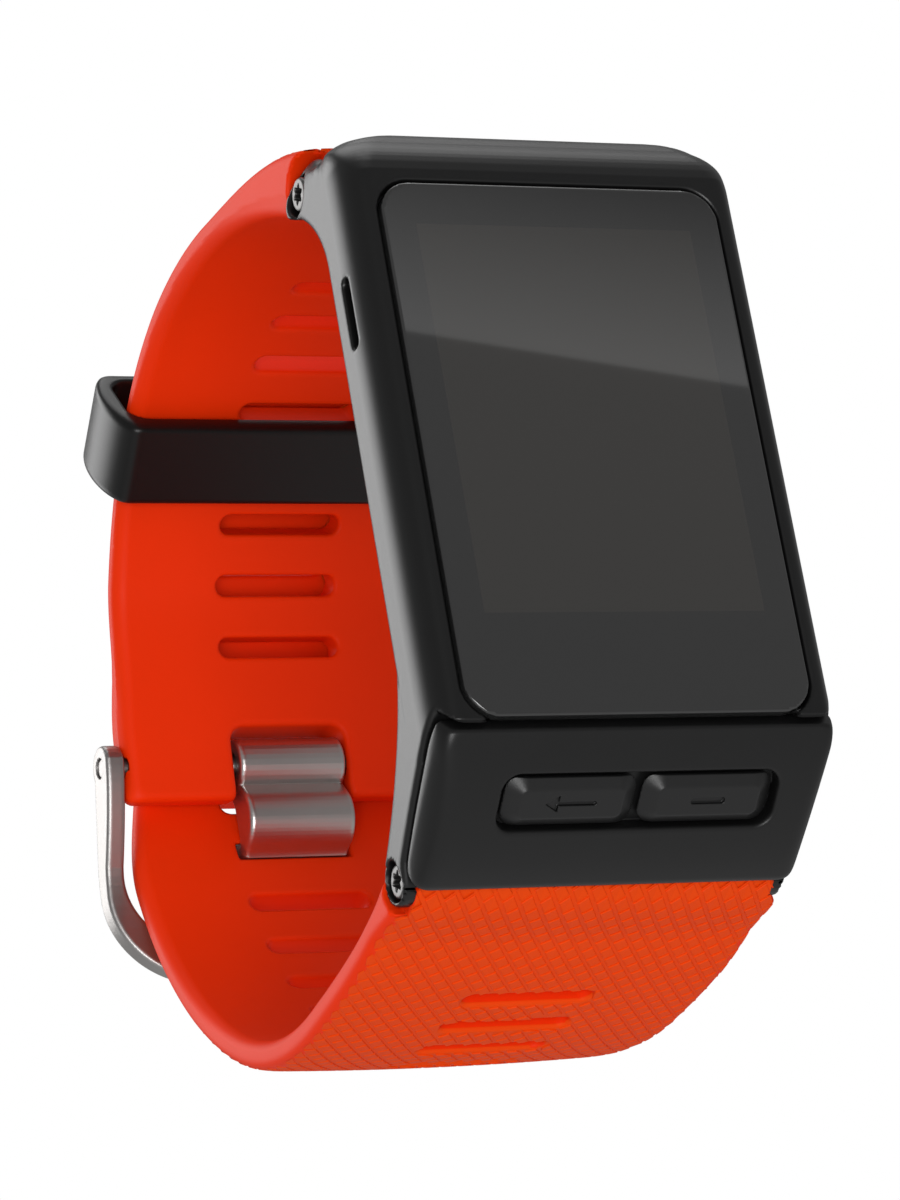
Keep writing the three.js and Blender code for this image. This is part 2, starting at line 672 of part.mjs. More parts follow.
for (const [name, bar] of [['upper', upperBar], ['lower', lowerBar]]) {
  const centre = { y: bar.depth, z: bar.height };
  add(caseGroup, `${name}_strap_bar`, rodX(centre, barRadius, -lugInner + gap, lugInner - gap, 4), screwSteel);
  for (const [sideName, side] of [['left', -1], ['right', 1]]) {
    const headOut = lugFace(bar) - headDepth;
    const headIn = headOut - screwHeadHeight;
    const headSpan = side < 0 ? [-headOut, -headIn] : [headIn, headOut];
    const shankSpan = side < 0 ? [-headIn - 0.2, -lugInner] : [lugInner, headIn + 0.2];
    const socket = rodX(centre, screwHeadRadius * 0.5, side < 0 ? -halfCase - 1 : headIn + 0.3,
      side < 0 ? -headIn - 0.3 : halfCase + 1, 2);
    const head = rodX(centre, screwHeadRadius, ...headSpan, 4).subtract(socket);
    const shank = rodX(centre, screwShankRadius, ...shankSpan, 3);
    add(caseGroup, `${name}_${sideName}_lug_screw`, head.add(shank), screwSteel);
  }
}

// ---------------------------------------------------------------- strap paths

function polar(radius, degrees) {
  const angle = THREE.MathUtils.degToRad(degrees);
  return new THREE.Vector2(radius * Math.cos(angle), radius * Math.sin(angle));
}

// Direction of travel at an angle: towards 12 o'clock when turn is 1, towards 6 o'clock when it is -1.
function heading(degrees, turn) {
  const angle = THREE.MathUtils.degToRad(degrees);
  return new THREE.Vector2(-Math.sin(angle) * turn, Math.cos(angle) * turn);
}

function arc(radius, from, to) {
  const toRad = THREE.MathUtils.degToRad;
  return new THREE.EllipseCurve(0, 0, radius, radius, toRad(from), toRad(to), to < from);
}

function bezier(start, control1, control2, end) {
  return new THREE.CubicBezierCurve(start, control1, control2, end);
}

const upperBarAt = inWrist(upperBar);
const lowerBarAt = inWrist(lowerBar);
const tailRadius = wristRadius + strapThickness + strapCrown + layerGap;

// Inner face of the upper strap, from its bar over 12 o'clock and down the back to the buckle.
const upperPath = new THREE.CurvePath();
const upperMerge = 80;
const upperLeave = 30;
const upperStart = new THREE.Vector2(upperBarAt.y + 0.4, upperBarAt.z - 2.1);
const upperEnd = new THREE.Vector2(pin.y - 1.3, pin.z - 3.2);
upperPath.add(bezier(
  upperStart,
  new THREE.Vector2(upperStart.x + 8.6, upperStart.y + 6.3),
  polar(wristRadius, upperMerge).addScaledVector(heading(upperMerge, 1), 9.6),
  polar(wristRadius, upperMerge),
));
upperPath.add(arc(wristRadius, upperMerge, upperLeave));
upperPath.add(bezier(
  polar(wristRadius, upperLeave),
  polar(wristRadius, upperLeave).addScaledVector(heading(upperLeave, -1), 3.0),
  new THREE.Vector2(pin.y - 2.0, pin.z + 3.7),
  upperEnd,
));

// Inner face of the lower strap, from its bar round 6 o'clock, through the buckle and over the upper strap.
const lowerPath = new THREE.CurvePath();
const lowerMerge = -95;
const lowerLeave = -20;
const tailMerge = 8;
const lowerStart = new THREE.Vector2(lowerBarAt.y + 0.6, lowerBarAt.z + 1.7);
lowerPath.add(bezier(
  lowerStart,
  new THREE.Vector2(lowerStart.x + 4.4, lowerStart.y - 3.2),
  polar(lowerRadius, lowerMerge).addScaledVector(heading(lowerMerge, -1), 6.0),
  polar(lowerRadius, lowerMerge),
));
lowerPath.add(arc(lowerRadius, lowerMerge, lowerLeave));
lowerPath.add(bezier(
  polar(lowerRadius, lowerLeave),
  polar(lowerRadius, lowerLeave).addScaledVector(heading(lowerLeave, 1), 5.0),
  polar(tailRadius, tailMerge).addScaledVector(heading(tailMerge, -1), 5.0),
  polar(tailRadius, tailMerge),
));
lowerPath.add(arc(tailRadius, tailMerge, tailTip));

// A point on a path with its outward normal, away from the wrist.
function station(path, fraction) {
  const point = path.getPointAt(fraction);
  const tangent = path.getTangentAt(fraction);
  const normal = new THREE.Vector2(tangent.y, -tangent.x);
  if (normal.dot(point) < 0) normal.negate();
  return { point, normal, tangent };
}

// The fraction of a path whose point lies at an angle about the wrist.
function fractionAt(path, degrees) {
  let best = 0;
  let bestMiss = Infinity;
  const steps = 720;
  for (let i = 0; i <= steps; i += 1) {
    const point = path.getPointAt(i / steps);
    const miss = Math.abs(THREE.MathUtils.radToDeg(Math.atan2(point.y, point.x)) - degrees);
    if (miss < bestMiss) {
      bestMiss = miss;
      best = i / steps;
    }
  }
  return best;
}

const draft = 0.45; // the inner face is narrower than the outer one by this much a side

// Section of a strap as (x, distance from the inner face): flat inside, crowned outside.
function strapSection(halfWidth, thickness) {
  const crown = thickness + strapCrown;
  return [
    [-halfWidth + draft, 0], [halfWidth - draft, 0],
    [halfWidth, 0.35 * thickness], [halfWidth, 0.8 * thickness], [halfWidth - 0.5, thickness],
    [halfWidth / 2, crown - 0.08], [0, crown], [-halfWidth / 2, crown - 0.08],
    [-halfWidth + 0.5, thickness], [-halfWidth, 0.8 * thickness], [-halfWidth, 0.35 * thickness],
  ];
}

// A closed band: one ring of points per station, joined side to side and capped at both ends.
function loft(rings) {
  const count = rings[0].length;
  const positions = rings.flat(2);
  const index = [];
  for (let i = 0; i < rings.length - 1; i += 1) {
    for (let j = 0; j < count; j += 1) {
      const a = i * count + j;
      const b = i * count + ((j + 1) % count);
      index.push(a, b, b + count, a, b + count, a + count);
    }
  }
  const last = (rings.length - 1) * count;
  for (let j = 1; j < count - 1; j += 1) {
    index.push(0, j + 1, j, last, last + j, last + j + 1);
  }
  const geometry = new THREE.BufferGeometry();
  geometry.setAttribute('position', new THREE.Float32BufferAttribute(positions, 3));
  geometry.setIndex(index);
  return geometry;
}

function strapBand(path, steps, halfWidthAt, thicknessAt, flip) {
  const rings = [];
  for (let i = 0; i <= steps; i += 1) {
    const fraction = i / steps;
    const { point, normal } = station(path, fraction);
    const ring = strapSection(halfWidthAt(fraction), thicknessAt(fraction)).map(([x, out]) => [
      x, point.x + normal.x * out, point.y + normal.y * out,
    ]);
    rings.push(flip ? ring.reverse() : ring);
  }
  return solid(loft(rings));
}

// A slot cut through a strap at a fraction of its path.
function slotCutter(path, fraction, length, width) {
  const { point, normal, tangent } = station(path, fraction);
  const geometry = extrude(stadium(length, width), 9, 2);
  const turn = new THREE.Matrix4().set(
    1, 0, 0, 0,
    0, tangent.x, normal.x, point.x - 3 * normal.x,
    0, tangent.y, normal.y, point.y - 3 * normal.y,
    0, 0, 0, 1,
  );
  if (turn.determinant() < 0) {
    turn.set(
      1, 0, 0, 0,
      0, -tangent.x, normal.x, point.x - 3 * normal.x,
      0, -tangent.y, normal.y, point.y - 3 * normal.y,
      0, 0, 0, 1,
    );
  }
  return solid(geometry.applyMatrix4(turn));
}

const ease = THREE.MathUtils.smoothstep;

// ---------------------------------------------------------------- straps

// Room for the case inside the strap ends: lugs, the back of the body and the button panel.
function caseClearance() {
  const wide = halfCase + 1;
  const narrow = lugInner - gap;
  let room = alongX(upperLug(gap), narrow, wide).add(alongX(upperLug(gap), -wide, -narrow));
  room = room.add(alongX(lowerLug(gap), narrow, wide)).add(alongX(lowerLug(gap), -wide, -narrow));
  room = room.add(alongX(panelOutline(gap), -wide, wide, 6));
  room = room.add(block(-wide, wide, 0, upperBar.depth - upperLugRadius - gap, upperBar.height - 6, caseTop + 4));
  return room.translate([0, -faceDistance, faceHeight]);
}

const clearance = caseClearance();

function barHole(at) {
  return rodX(at, barHoleRadius, -20, 20, 4);
}

function upperStrap() {
  const length = upperPath.getLength();
  const endThickness = 3.1;
  const halfWidthAt = (f) => THREE.MathUtils.lerp(strapHalfWidthLug, strapHalfWidth, ease(f, 0.12, 0.78));
  const thicknessAt = (f) => {
    const atLug = 3.4 * (1 - ease(f, -0.06, 0.27));
    const atPin = (endThickness - strapThickness) * ease(f, 1 - 13 / length, 1 - 6 / length);
    const atEnd = 0.8 * ease(f, 1 - 2.4 / length, 1);
    return strapThickness + atLug + atPin - atEnd;
  };
  let strap = strapBand(upperPath, 34, halfWidthAt, thicknessAt, true);
  strap = strap.add(rodX(upperBarAt, upperLugRadius - 0.1, -lugInner + gap, lugInner - gap, 5));
  strap = strap.subtract(clearance).subtract(barHole(upperBarAt));
  const firstSlot = fractionAt(upperPath, 19.9);
  const mean = (wristRadius + strapThickness / 2) / wristRadius;
  for (let i = 0; i < upperSlots; i += 1) {
    strap = strap.subtract(slotCutter(upperPath, firstSlot - (i * slotPitch) / mean / length, slotLength, slotWidth));
  }
  const notch = block(-tangWidth / 2 - gap, tangWidth / 2 + gap, pin.y - 8, pin.y + 8,
    pin.z - 8, pin.z + tangRoll + 0.55);
  return strap.subtract(notch).subtract(rodX(pin, pinHoleRadius, -20, 20, 4));
}

// The tang's hook turns about the pin, so the slot that it sits in is cut as a ring about the pin.
function ringSector(inner, outer, from, to) {
  const toRad = THREE.MathUtils.degToRad;
  const shape = new THREE.Shape();
  shape.absarc(pin.y, pin.z, outer, toRad(from), toRad(to), false);
  shape.absarc(pin.y, pin.z, inner, toRad(to), toRad(from), true);
  shape.closePath();
  return shape;
}

function lowerStrap() {
  const length = lowerPath.getLength();
  const tangFraction = fractionAt(lowerPath, -13);
  const halfWidthAt = (f) => {
    const narrowed = THREE.MathUtils.lerp(strapHalfWidthLug, strapHalfWidth, ease(f, 0.08, 0.42));
    const tail = THREE.MathUtils.lerp(narrowed, tailHalfWidth, ease(f, tangFraction - 0.03, tangFraction + 0.12));
    return tail - 4.0 * ease(f, 1 - 3.5 / length, 1) ** 2;
  };
  const thicknessAt = (f) => strapThickness + 1.5 * (1 - ease(f, 0, 0.06)) - 0.4 * ease(f, 1 - 3 / length, 1);
  let strap = strapBand(lowerPath, 46, halfWidthAt, thicknessAt, false);
  strap = strap.add(rodX(lowerBarAt, lowerLugRadius + 0.15, -lugInner + gap, lugInner - gap, 5));
  strap = strap.subtract(clearance).subtract(barHole(lowerBarAt));
  const step = slotPitch / (1 + strapThickness / 2 / lowerRadius) / length;
  for (let i = -7; i <= 5; i += 1) {
    if (i === 0) continue;
    strap = strap.subtract(slotCutter(lowerPath, tangFraction + i * step, slotLength, slotWidth));
  }
  const nearCase = fractionAt(lowerPath, -88.4);
  for (let i = 0; i < 3; i += 1) {
    strap = strap.subtract(slotCutter(lowerPath, nearCase - (i * nearPitch) / length, slotLength, slotWidth));
  }
  return strap.subtract(alongX(ringSector(hookInner - gap, hookOuter + gap, -100, -20),
    -slotLength / 2, slotLength / 2, 8));
}

add(strapGroup, 'upper_strap', upperStrap(), strapRed);
add(strapGroup, 'lower_strap', lowerStrap(), strapRed);

// ---------------------------------------------------------------- buckle

add(strapGroup, 'buckle_pin', rodX(pin, pinRadius, -buckleWidth / 2 + 0.15, buckleWidth / 2 - 0.15, 5), satinSteel);

function tangOutline() {
  const shape = new THREE.Shape();
  const [y, z] = [pin.y, pin.z];
  shape.absarc(y, z, tangRoll, -0.12 * Math.PI, 1.36 * Math.PI, false);
  shape.absarc(y + tangLobe.y, z + tangLobe.z, tangLobe.radius, 0.75 * Math.PI, 1.5 * Math.PI, false);
  shape.lineTo(y + 0.9, z - hookInner + 0.1);
  shape.lineTo(y + 0.95, z - 3.2);
  shape.closePath();
  return shape;
}

function buckleTang() {
  const half = tangWidth / 2;
  const hook = alongX(ringSector(hookInner, hookOuter, -91, -52), -half, half, 6);
  return alongX(tangOutline(), -half, half, 6).add(hook).subtract(rodX(pin, pinHoleRadius, -20, 20, 5));
}

add(strapGroup, 'buckle_tang', buckleTang(), satinSteel);

// The frame is a curved plate, cut to a U whose arms carry the pin.
function buckleFrame() {
  const [y, z] = [pin.y, pin.z];
  const side = new THREE.Shape();
  side.absarc(y, z, 1.75, -0.1 * Math.PI, 0.95 * Math.PI, false);
  side.quadraticCurveTo(y - 1.3, z - 2.5, y + 1.6, z - 7.5);
  side.quadraticCurveTo(y + 2.6, z - 10.5, y + 1.9, crossbarEnd);
  side.lineTo(y + 1.9 + armDepth, crossbarEnd);
  side.quadraticCurveTo(y + 2.7 + armDepth, z - 9.5, y + 2.0 + armDepth, z - 7.0);
  side.closePath();
  const half = buckleWidth / 2;
  const outer = alongY(roundRect(-half, half, crossbarEnd, z + 12, buckleCorner), y - 6, y + 12, 5);
  const inner = alongY(roundRect(-half + armThickness, half - armThickness, crossbarEnd + crossbarWidth, z + 15,
    buckleCorner - armThickness),
    y - 7, y + 13, 4);
  return alongX(side, -half, half, 6).intersect(outer.subtract(inner))
    .subtract(rodX(pin, pinHoleRadius, -20, 20, 5));
}

add(strapGroup, 'buckle_frame', buckleFrame(), satinSteel);

// ---------------------------------------------------------------- keeper

function keeperLoop() {
  const sag = wristRadius - Math.sqrt(wristRadius ** 2 - (keeperLength / 2) ** 2);
  const low = -sag - gap;
  const high = 2 * (strapThickness + strapCrown) + layerGap + gap;
  const half = keeperWidth / 2;
  const flat = half - keeperBulge;
  const middle = (low - keeperFront + high + keeperBack) / 2;
  const outer = new THREE.Shape();
  outer.moveTo(-flat, low - keeperFront);
  outer.lineTo(flat, low - keeperFront);
  outer.quadraticCurveTo(half + keeperBulge, middle, flat, high + keeperBack);
  outer.lineTo(-flat, high + keeperBack);
  outer.quadraticCurveTo(-half - keeperBulge, middle, -flat, low - keeperFront);
  outer.holes.push(roundRect(-half + keeperSide, half - keeperSide, low, high, 0.8));
  const geometry = extrude(outer, keeperLength, 8);
  geometry.translate(0, 0, -keeperLength / 2);
  const out = polar(1, keeperAngle);
  const down = heading(keeperAngle, -1);
  const turn = new THREE.Matrix4().set(
    1, 0, 0, 0,
    0, out.x, -down.x, out.x * wristRadius,
    0, out.y, -down.y, out.y * wristRadius,
    0, 0, 0, 1,
  );
  return solid(geometry.applyMatrix4(turn));
}

add(strapGroup, 'strap_keeper', keeperLoop(), glossBlack);

export default watch;
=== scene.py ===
import math
from itertools import product

import bpy
import numpy as np
from mathutils import Matrix, Vector


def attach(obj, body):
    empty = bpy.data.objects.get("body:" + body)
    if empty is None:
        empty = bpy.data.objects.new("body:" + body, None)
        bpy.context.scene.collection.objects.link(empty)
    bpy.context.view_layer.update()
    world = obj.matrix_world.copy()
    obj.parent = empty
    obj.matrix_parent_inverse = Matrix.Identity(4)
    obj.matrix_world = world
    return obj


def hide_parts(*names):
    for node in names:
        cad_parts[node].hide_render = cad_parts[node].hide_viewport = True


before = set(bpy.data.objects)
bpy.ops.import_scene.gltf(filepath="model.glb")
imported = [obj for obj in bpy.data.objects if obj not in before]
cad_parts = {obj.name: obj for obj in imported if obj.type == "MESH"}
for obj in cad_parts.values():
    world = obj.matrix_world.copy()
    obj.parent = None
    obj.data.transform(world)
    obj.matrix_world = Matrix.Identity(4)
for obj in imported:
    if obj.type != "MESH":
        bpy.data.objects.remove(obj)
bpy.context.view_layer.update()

# GPS running watch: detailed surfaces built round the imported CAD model.
# Lengths are in millimetres until a mesh is made. A solid is a function that is negative inside it. Case solids take
# x across, depth d behind the glass and height h up the face. Strap solids take u across, distance s along the
# strap and height h off its inner face. Panel places are s down the panel's chord and n behind it.
MM = 0.001

# ------------------------------------------------------------------ case sizes, as in the CAD source
FACE_Y, FACE_Z = -33.25, 2.0  # the display centre on the glass
HALF_CASE = 15.1
LUG_HALF = 14.5
LUG_INNER = 12.6
CASE_TOP = 24.3
RAIL = 5.5
PANEL_START = np.array([0.4, -22.4])
PANEL_END = np.array([10.3, -30.2])
CHORD = PANEL_END - PANEL_START
CHORD_LENGTH = float(np.hypot(*CHORD))
ALONG = CHORD / CHORD_LENGTH
INWARD = np.array([-ALONG[1], ALONG[0]])
CROWN = 1.0
UPPER_BAR = (8.9, 20.9)
LOWER_BAR = (12.7, -28.4)
UPPER_LUG, LOWER_LUG = 2.15, 1.75
GLASS = (-12.7, 12.7, -21.6, 17.5, 2.4)  # x0, x1, h0, h1 and corner radius
GLASS_GAP = 0.17
CAVITY = (-11.9, 11.9, -19.3, 16.2)  # x0, x1, h0, h1 of the room inside
BAR_BORE = 1.05
KEY_ROW_X, KEY_FROM_START = 0.5, 5.3
KEY_LENGTH, KEY_WIDTH, KEY_SPLIT, KEY_MARGIN = 9.7, 3.65, 0.35, 0.3
RECESS_FLOOR = 0.35
PIN = (28.1, 0.35)
WRIST_R, LOWER_R = 27.85, 29.3
STRAP_T, STRAP_CROWN, LAYER_GAP = 2.2, 0.3, 0.4
STRAP_HALF_AT_LUG, STRAP_HALF, TAIL_HALF = 14.6, 13.4, 10.6
SLOT_HALF, SLOT_PITCH, NEAR_PITCH = (4.95, 0.8), 5.0, 4.3
KEEPER_ANGLE, KEEPER_LENGTH = 51.8, 6.9
BOW_END, BOW_HALF, BOW_HALF_INSIDE = -16.2, 15.25, 13.75
TANG_HALF, PIN_R, PIN_HALF = 4.4, 0.75, 15.1
LENS_HEIGHT, CONTACT_HEIGHT, CONTACT_PITCH = -1.0, -13.6, 2.6
COVER_SCREWS = list(product((-10.9, 10.9), (15.0, -17.7)))


# ------------------------------------------------------------------ distance functions
def smin(a, b, r):
    h = np.maximum(r - np.abs(a - b), 0) / r
    return np.minimum(a, b) - h * h * r / 4


def smax(a, b, r):
    return -smin(-a, -b, r)


def chamfer(a, b, c):
    """Intersection whose edge is cut at 45 degrees, c wide on each face."""
    return np.maximum(np.maximum(a, b), (a + b + c) * math.sqrt(0.5))


def rect(x, y, x0, x1, y0, y1, r):
    qx = np.abs(x - (x0 + x1) / 2) - (x1 - x0) / 2 + r
    qy = np.abs(y - (y0 + y1) / 2) - (y1 - y0) / 2 + r
    return np.hypot(np.maximum(qx, 0), np.maximum(qy, 0)) + np.minimum(np.maximum(qx, qy), 0) - r


def disc(x, y, centre, r):
    return np.hypot(x - centre[0], y - centre[1]) - r


def slab(v, lo, hi):
    return np.maximum(lo - v, v - hi)


def poly(x, y, points):
    """Signed distance to a closed polygon."""
    points = [tuple(float(c) for c in p) for p in points]
    far, inside = 1e12, False
    for (x0, y0), (x1, y1) in zip(points, points[1:] + points[:1]):
        ex, ey = x1 - x0, y1 - y0
        if ex * ex + ey * ey < 1e-12:
            continue
        t = np.clip(((x - x0) * ex + (y - y0) * ey) / (ex * ex + ey * ey), 0, 1)
        far = np.minimum(far, (x - x0 - ex * t) ** 2 + (y - y0 - ey * t) ** 2)
        if ey != 0:
            crosses = (y < max(y0, y1)) & (y >= min(y0, y1)) & (x < x0 + (y - y0) * ex / ey)
            inside = inside ^ crosses
    return np.where(inside, -1, 1) * np.sqrt(far)


def bend(p0, p1, p2, n=10):
    """Points of a quadratic curve after its first point."""
    t = np.linspace(0, 1, n + 1)[1:, None]
    p0, p1, p2 = (np.array(p, float) for p in (p0, p1, p2))
    return [tuple(p) for p in (1 - t) ** 2 * p0 + 2 * t * (1 - t) * p1 + t * t * p2]


def arc(centre, r, a0, a1, n=14):
    """Points of a circular arc, angles in half turns."""
    a = np.linspace(a0, a1, n) * math.pi
    return [(centre[0] + r * math.cos(v), centre[1] + r * math.sin(v)) for v in a]


def on_panel(distance, depth):
    return tuple(PANEL_START + ALONG * distance + INWARD * depth)


# ------------------------------------------------------------------ meshes
def gradient(f, p, e):
    g = np.empty_like(p)
    for i in range(3):
        hi, lo = p.copy(), p.copy()
        hi[:, i] += e
        lo[:, i] -= e
        g[:, i] = (f(*hi.T) - f(*lo.T)) / (2 * e)
    return g


def surface(f, lo, hi, step):
    """Vertices, quads and normals of the surface where f is zero, inside a box."""
    axes = [np.arange(a - 1.5 * step, b + 1.6 * step, step) for a, b in zip(lo, hi)]
    grid = np.meshgrid(*axes, indexing="ij", sparse=True)
    v = np.broadcast_to(f(*grid), [len(a) for a in axes]).astype(np.float32)
    solid = v < 0
    n = [k - 1 for k in v.shape]
    count = np.zeros(n, np.int8)
    for c in product((0, 1), repeat=3):
        count += solid[tuple(slice(o, o + k) for o, k in zip(c, n))]
    cells = np.argwhere((count > 0) & (count < 8))
    ids = np.full(n, -1)
    ids[tuple(cells.T)] = np.arange(len(cells))
    total, crossings = np.zeros((len(cells), 3)), np.zeros(len(cells))
    quads = []
    for axis in range(3):
        one, two = (axis + 1) % 3, (axis + 2) % 3
        for b, c in product((0, 1), repeat=2):
            start = np.zeros(3, int)
            start[one], start[two] = b, c
            end = start.copy()
            end[axis] = 1
            va, vb = v[tuple((cells + start).T)], v[tuple((cells + end).T)]
            hit = (va < 0) != (vb < 0)
            t = np.where(hit, va / np.where(hit, va - vb, 1), 0)
            p = np.tile(start.astype(float), (len(cells), 1))
            p[:, axis] = t
            total += p * hit[:, None]
            crossings += hit
        first = [slice(None)] * 3
        second = [slice(None)] * 3
        first[axis], second[axis] = slice(None, -1), slice(1, None)
        a, b = solid[tuple(first)], solid[tuple(second)]
        for mask, flip in ((a & ~b, False), (b & ~a, True)):
            e = np.argwhere(mask)
            around = []
            for o, w in ((-1, -1), (0, -1), (0, 0), (-1, 0)):
                q = e.copy()
                q[:, one] += o
                q[:, two] += w
                around.append(ids[tuple(q.T)])
            quad = np.stack(around, 1)
            quads.append(quad[:, ::-1] if flip else quad)
    p = (cells + total / crossings[:, None]) * step + np.array([a[0] for a in axes])
    for _ in range(3):
        g = gradient(f, p, 0.2 * step)
        size = np.maximum(np.linalg.norm(g, axis=1), 0.2)
        move = np.clip(f(*p.T) / size, -0.5 * step, 0.5 * step)
        p -= g / size[:, None] * move[:, None]
    g = gradient(f, p, 0.25 * step)
    g /= np.maximum(np.linalg.norm(g, axis=1), 1e-6)[:, None]
    quads = np.concatenate(quads)
    return p, quads[(quads >= 0).all(1)], g


def add_object(name, data):
    o = bpy.data.objects.new(name, data)
    bpy.context.scene.collection.objects.link(o)
    return o


def make(name, p, faces, normals, body, mats, replaces=(), face_material=None):
    """A mesh object from millimetre points, riding on a CAD body."""
    mesh = bpy.data.meshes.new(name)
    mesh.from_pydata((np.asarray(p) * MM).tolist(), [], faces if isinstance(faces, list) else faces.tolist())
    for m in mats:
        mesh.materials.append(m)
    if face_material is not None:
        mesh.polygons.foreach_set("material_index", np.asarray(face_material, np.int32))
    if normals is not None:
        mesh.polygons.foreach_set("use_smooth", np.ones(len(mesh.polygons), bool))
        mesh.normals_split_custom_set_from_vertices(np.asarray(normals).tolist())
    mesh.update()
    o = add_object(name, mesh)
    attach(o, body)
    if replaces:
        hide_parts(*replaces)
    return o


def build(name, f, lo, hi, step, body, mat, replaces=()):
    """f takes x, y, z in millimetres in the row frame."""
    p, quads, normals = surface(f, lo, hi, step)
    return make(name, p, quads, normals, body, [mat], replaces)


def in_case(f):
    """A function of x, depth and height as a function of x, y, z."""
    return lambda x, y, z: f(x, y - FACE_Y, z - FACE_Z)


# ------------------------------------------------------------------ materials
def feed(nt, socket, value):
    """Link a node's output to a socket, or set the socket to a number or colour."""
    if isinstance(value, bpy.types.NodeSocket):
        nt.links.new(value, socket)
    else:
        socket.default_value = value


def calculate(nt, operation, *values):
    node = nt.nodes.new("ShaderNodeMath")
    node.operation = operation
    for socket, value in zip(node.inputs, values):
        feed(nt, socket, value)
    return node.outputs[0]


def map_range(nt, value, source, target):
    node = nt.nodes.new("ShaderNodeMapRange")
    for key, number in zip(("From Min", "From Max", "To Min", "To Max"), (*source, *target)):
        node.inputs[key].default_value = number
    nt.links.new(value, node.inputs["Value"])
    return node.outputs["Result"]


def mix_colors(nt, factor, first, second):
    node = nt.nodes.new("ShaderNodeMix")
    node.data_type = "RGBA"
    for index, value in ((0, factor), (6, first), (7, second)):
        feed(nt, node.inputs[index], value)
    return node.outputs[2]


def noise(nt, where, scale, detail):
    node = nt.nodes.new("ShaderNodeTexNoise")
    node.inputs["Scale"].default_value = scale
    node.inputs["Detail"].default_value = detail
    nt.links.new(where, node.inputs["Vector"])
    return node.outputs["Fac"]


def shade(color, factor=1.0, lift=0.0):
    return (*[min(1.0, c * factor + lift) for c in color], 1)


def material(name, color, rough, metal=0.0, mottle=0.08, mottle_scale=220.0, grain=0.12, grain_scale=9000.0,
             rough_spread=0.06, coat=0.0, coat_rough=0.05, specular=0.5, wear=0.0, brush=None):
    """Mottled colour, fine grain in the roughness and bump, and paler edges where there is wear."""
    m = bpy.data.materials.new(name)
    m.use_nodes = True
    nt = m.node_tree
    bsdf = nt.nodes["Principled BSDF"]
    where = nt.nodes.new("ShaderNodeTexCoord").outputs["Object"]
    fine_where = where
    if brush is not None:
        stretch = nt.nodes.new("ShaderNodeMapping")
        stretch.inputs["Scale"].default_value = brush
        nt.links.new(where, stretch.inputs["Vector"])
        fine_where = stretch.outputs["Vector"]
    base = mix_colors(nt, noise(nt, where, mottle_scale, 4.0), shade(color, 1 - mottle), shade(color, 1 + mottle))
    if wear:
        edge = nt.nodes.new("ShaderNodeNewGeometry").outputs["Pointiness"]
        base = mix_colors(nt, map_range(nt, edge, (0.52, 0.62), (0.0, 1.0)), base, shade(color, lift=wear))
    fine = noise(nt, fine_where, grain_scale, 3.0)
    bump = nt.nodes.new("ShaderNodeBump")
    bump.inputs["Strength"].default_value = grain
    bump.inputs["Distance"].default_value = 0.03 * MM
    nt.links.new(fine, bump.inputs["Height"])
    roughness = map_range(nt, fine, (0.0, 1.0), (max(0.0, rough - rough_spread), min(1.0, rough + rough_spread)))
    for key, value in (("Base Color", base), ("Roughness", roughness), ("Normal", bump.outputs["Normal"]),
                       ("Metallic", metal), ("Coat Weight", coat), ("Coat Roughness", coat_rough),
                       ("Specular IOR Level", specular)):
        feed(nt, bsdf.inputs[key], value)
    m.diffuse_color = (*color, 1)
    return m


def glass_material():
    """Dark cover glass with the faint warmer rectangle of the unlit display behind it."""
    m = material("watch_glass", (0.0215, 0.0215, 0.0215), 0.22, mottle=0.03, grain=0.0, rough_spread=0.01,
                 coat=1.0, coat_rough=0.02, specular=0.3)
    nt = m.node_tree
    base = nt.nodes["Principled BSDF"].inputs["Base Color"]
    split = nt.nodes.new("ShaderNodeSeparateXYZ")
    nt.links.new(nt.nodes.new("ShaderNodeTexCoord").outputs["Object"], split.inputs["Vector"])
    tests = []
    for axis, centre, half in (("X", 0.0, 10.35 * MM), ("Z", FACE_Z * MM, 14.3 * MM)):
        away = calculate(nt, "ABSOLUTE", calculate(nt, "SUBTRACT", split.outputs[axis], centre))
        tests.append(calculate(nt, "LESS_THAN", away, half))
    inside = calculate(nt, "MULTIPLY", *tests)
    feed(nt, base, mix_colors(nt, inside, base.links[0].from_socket, (0.0290, 0.0276, 0.0258, 1)))
    return m


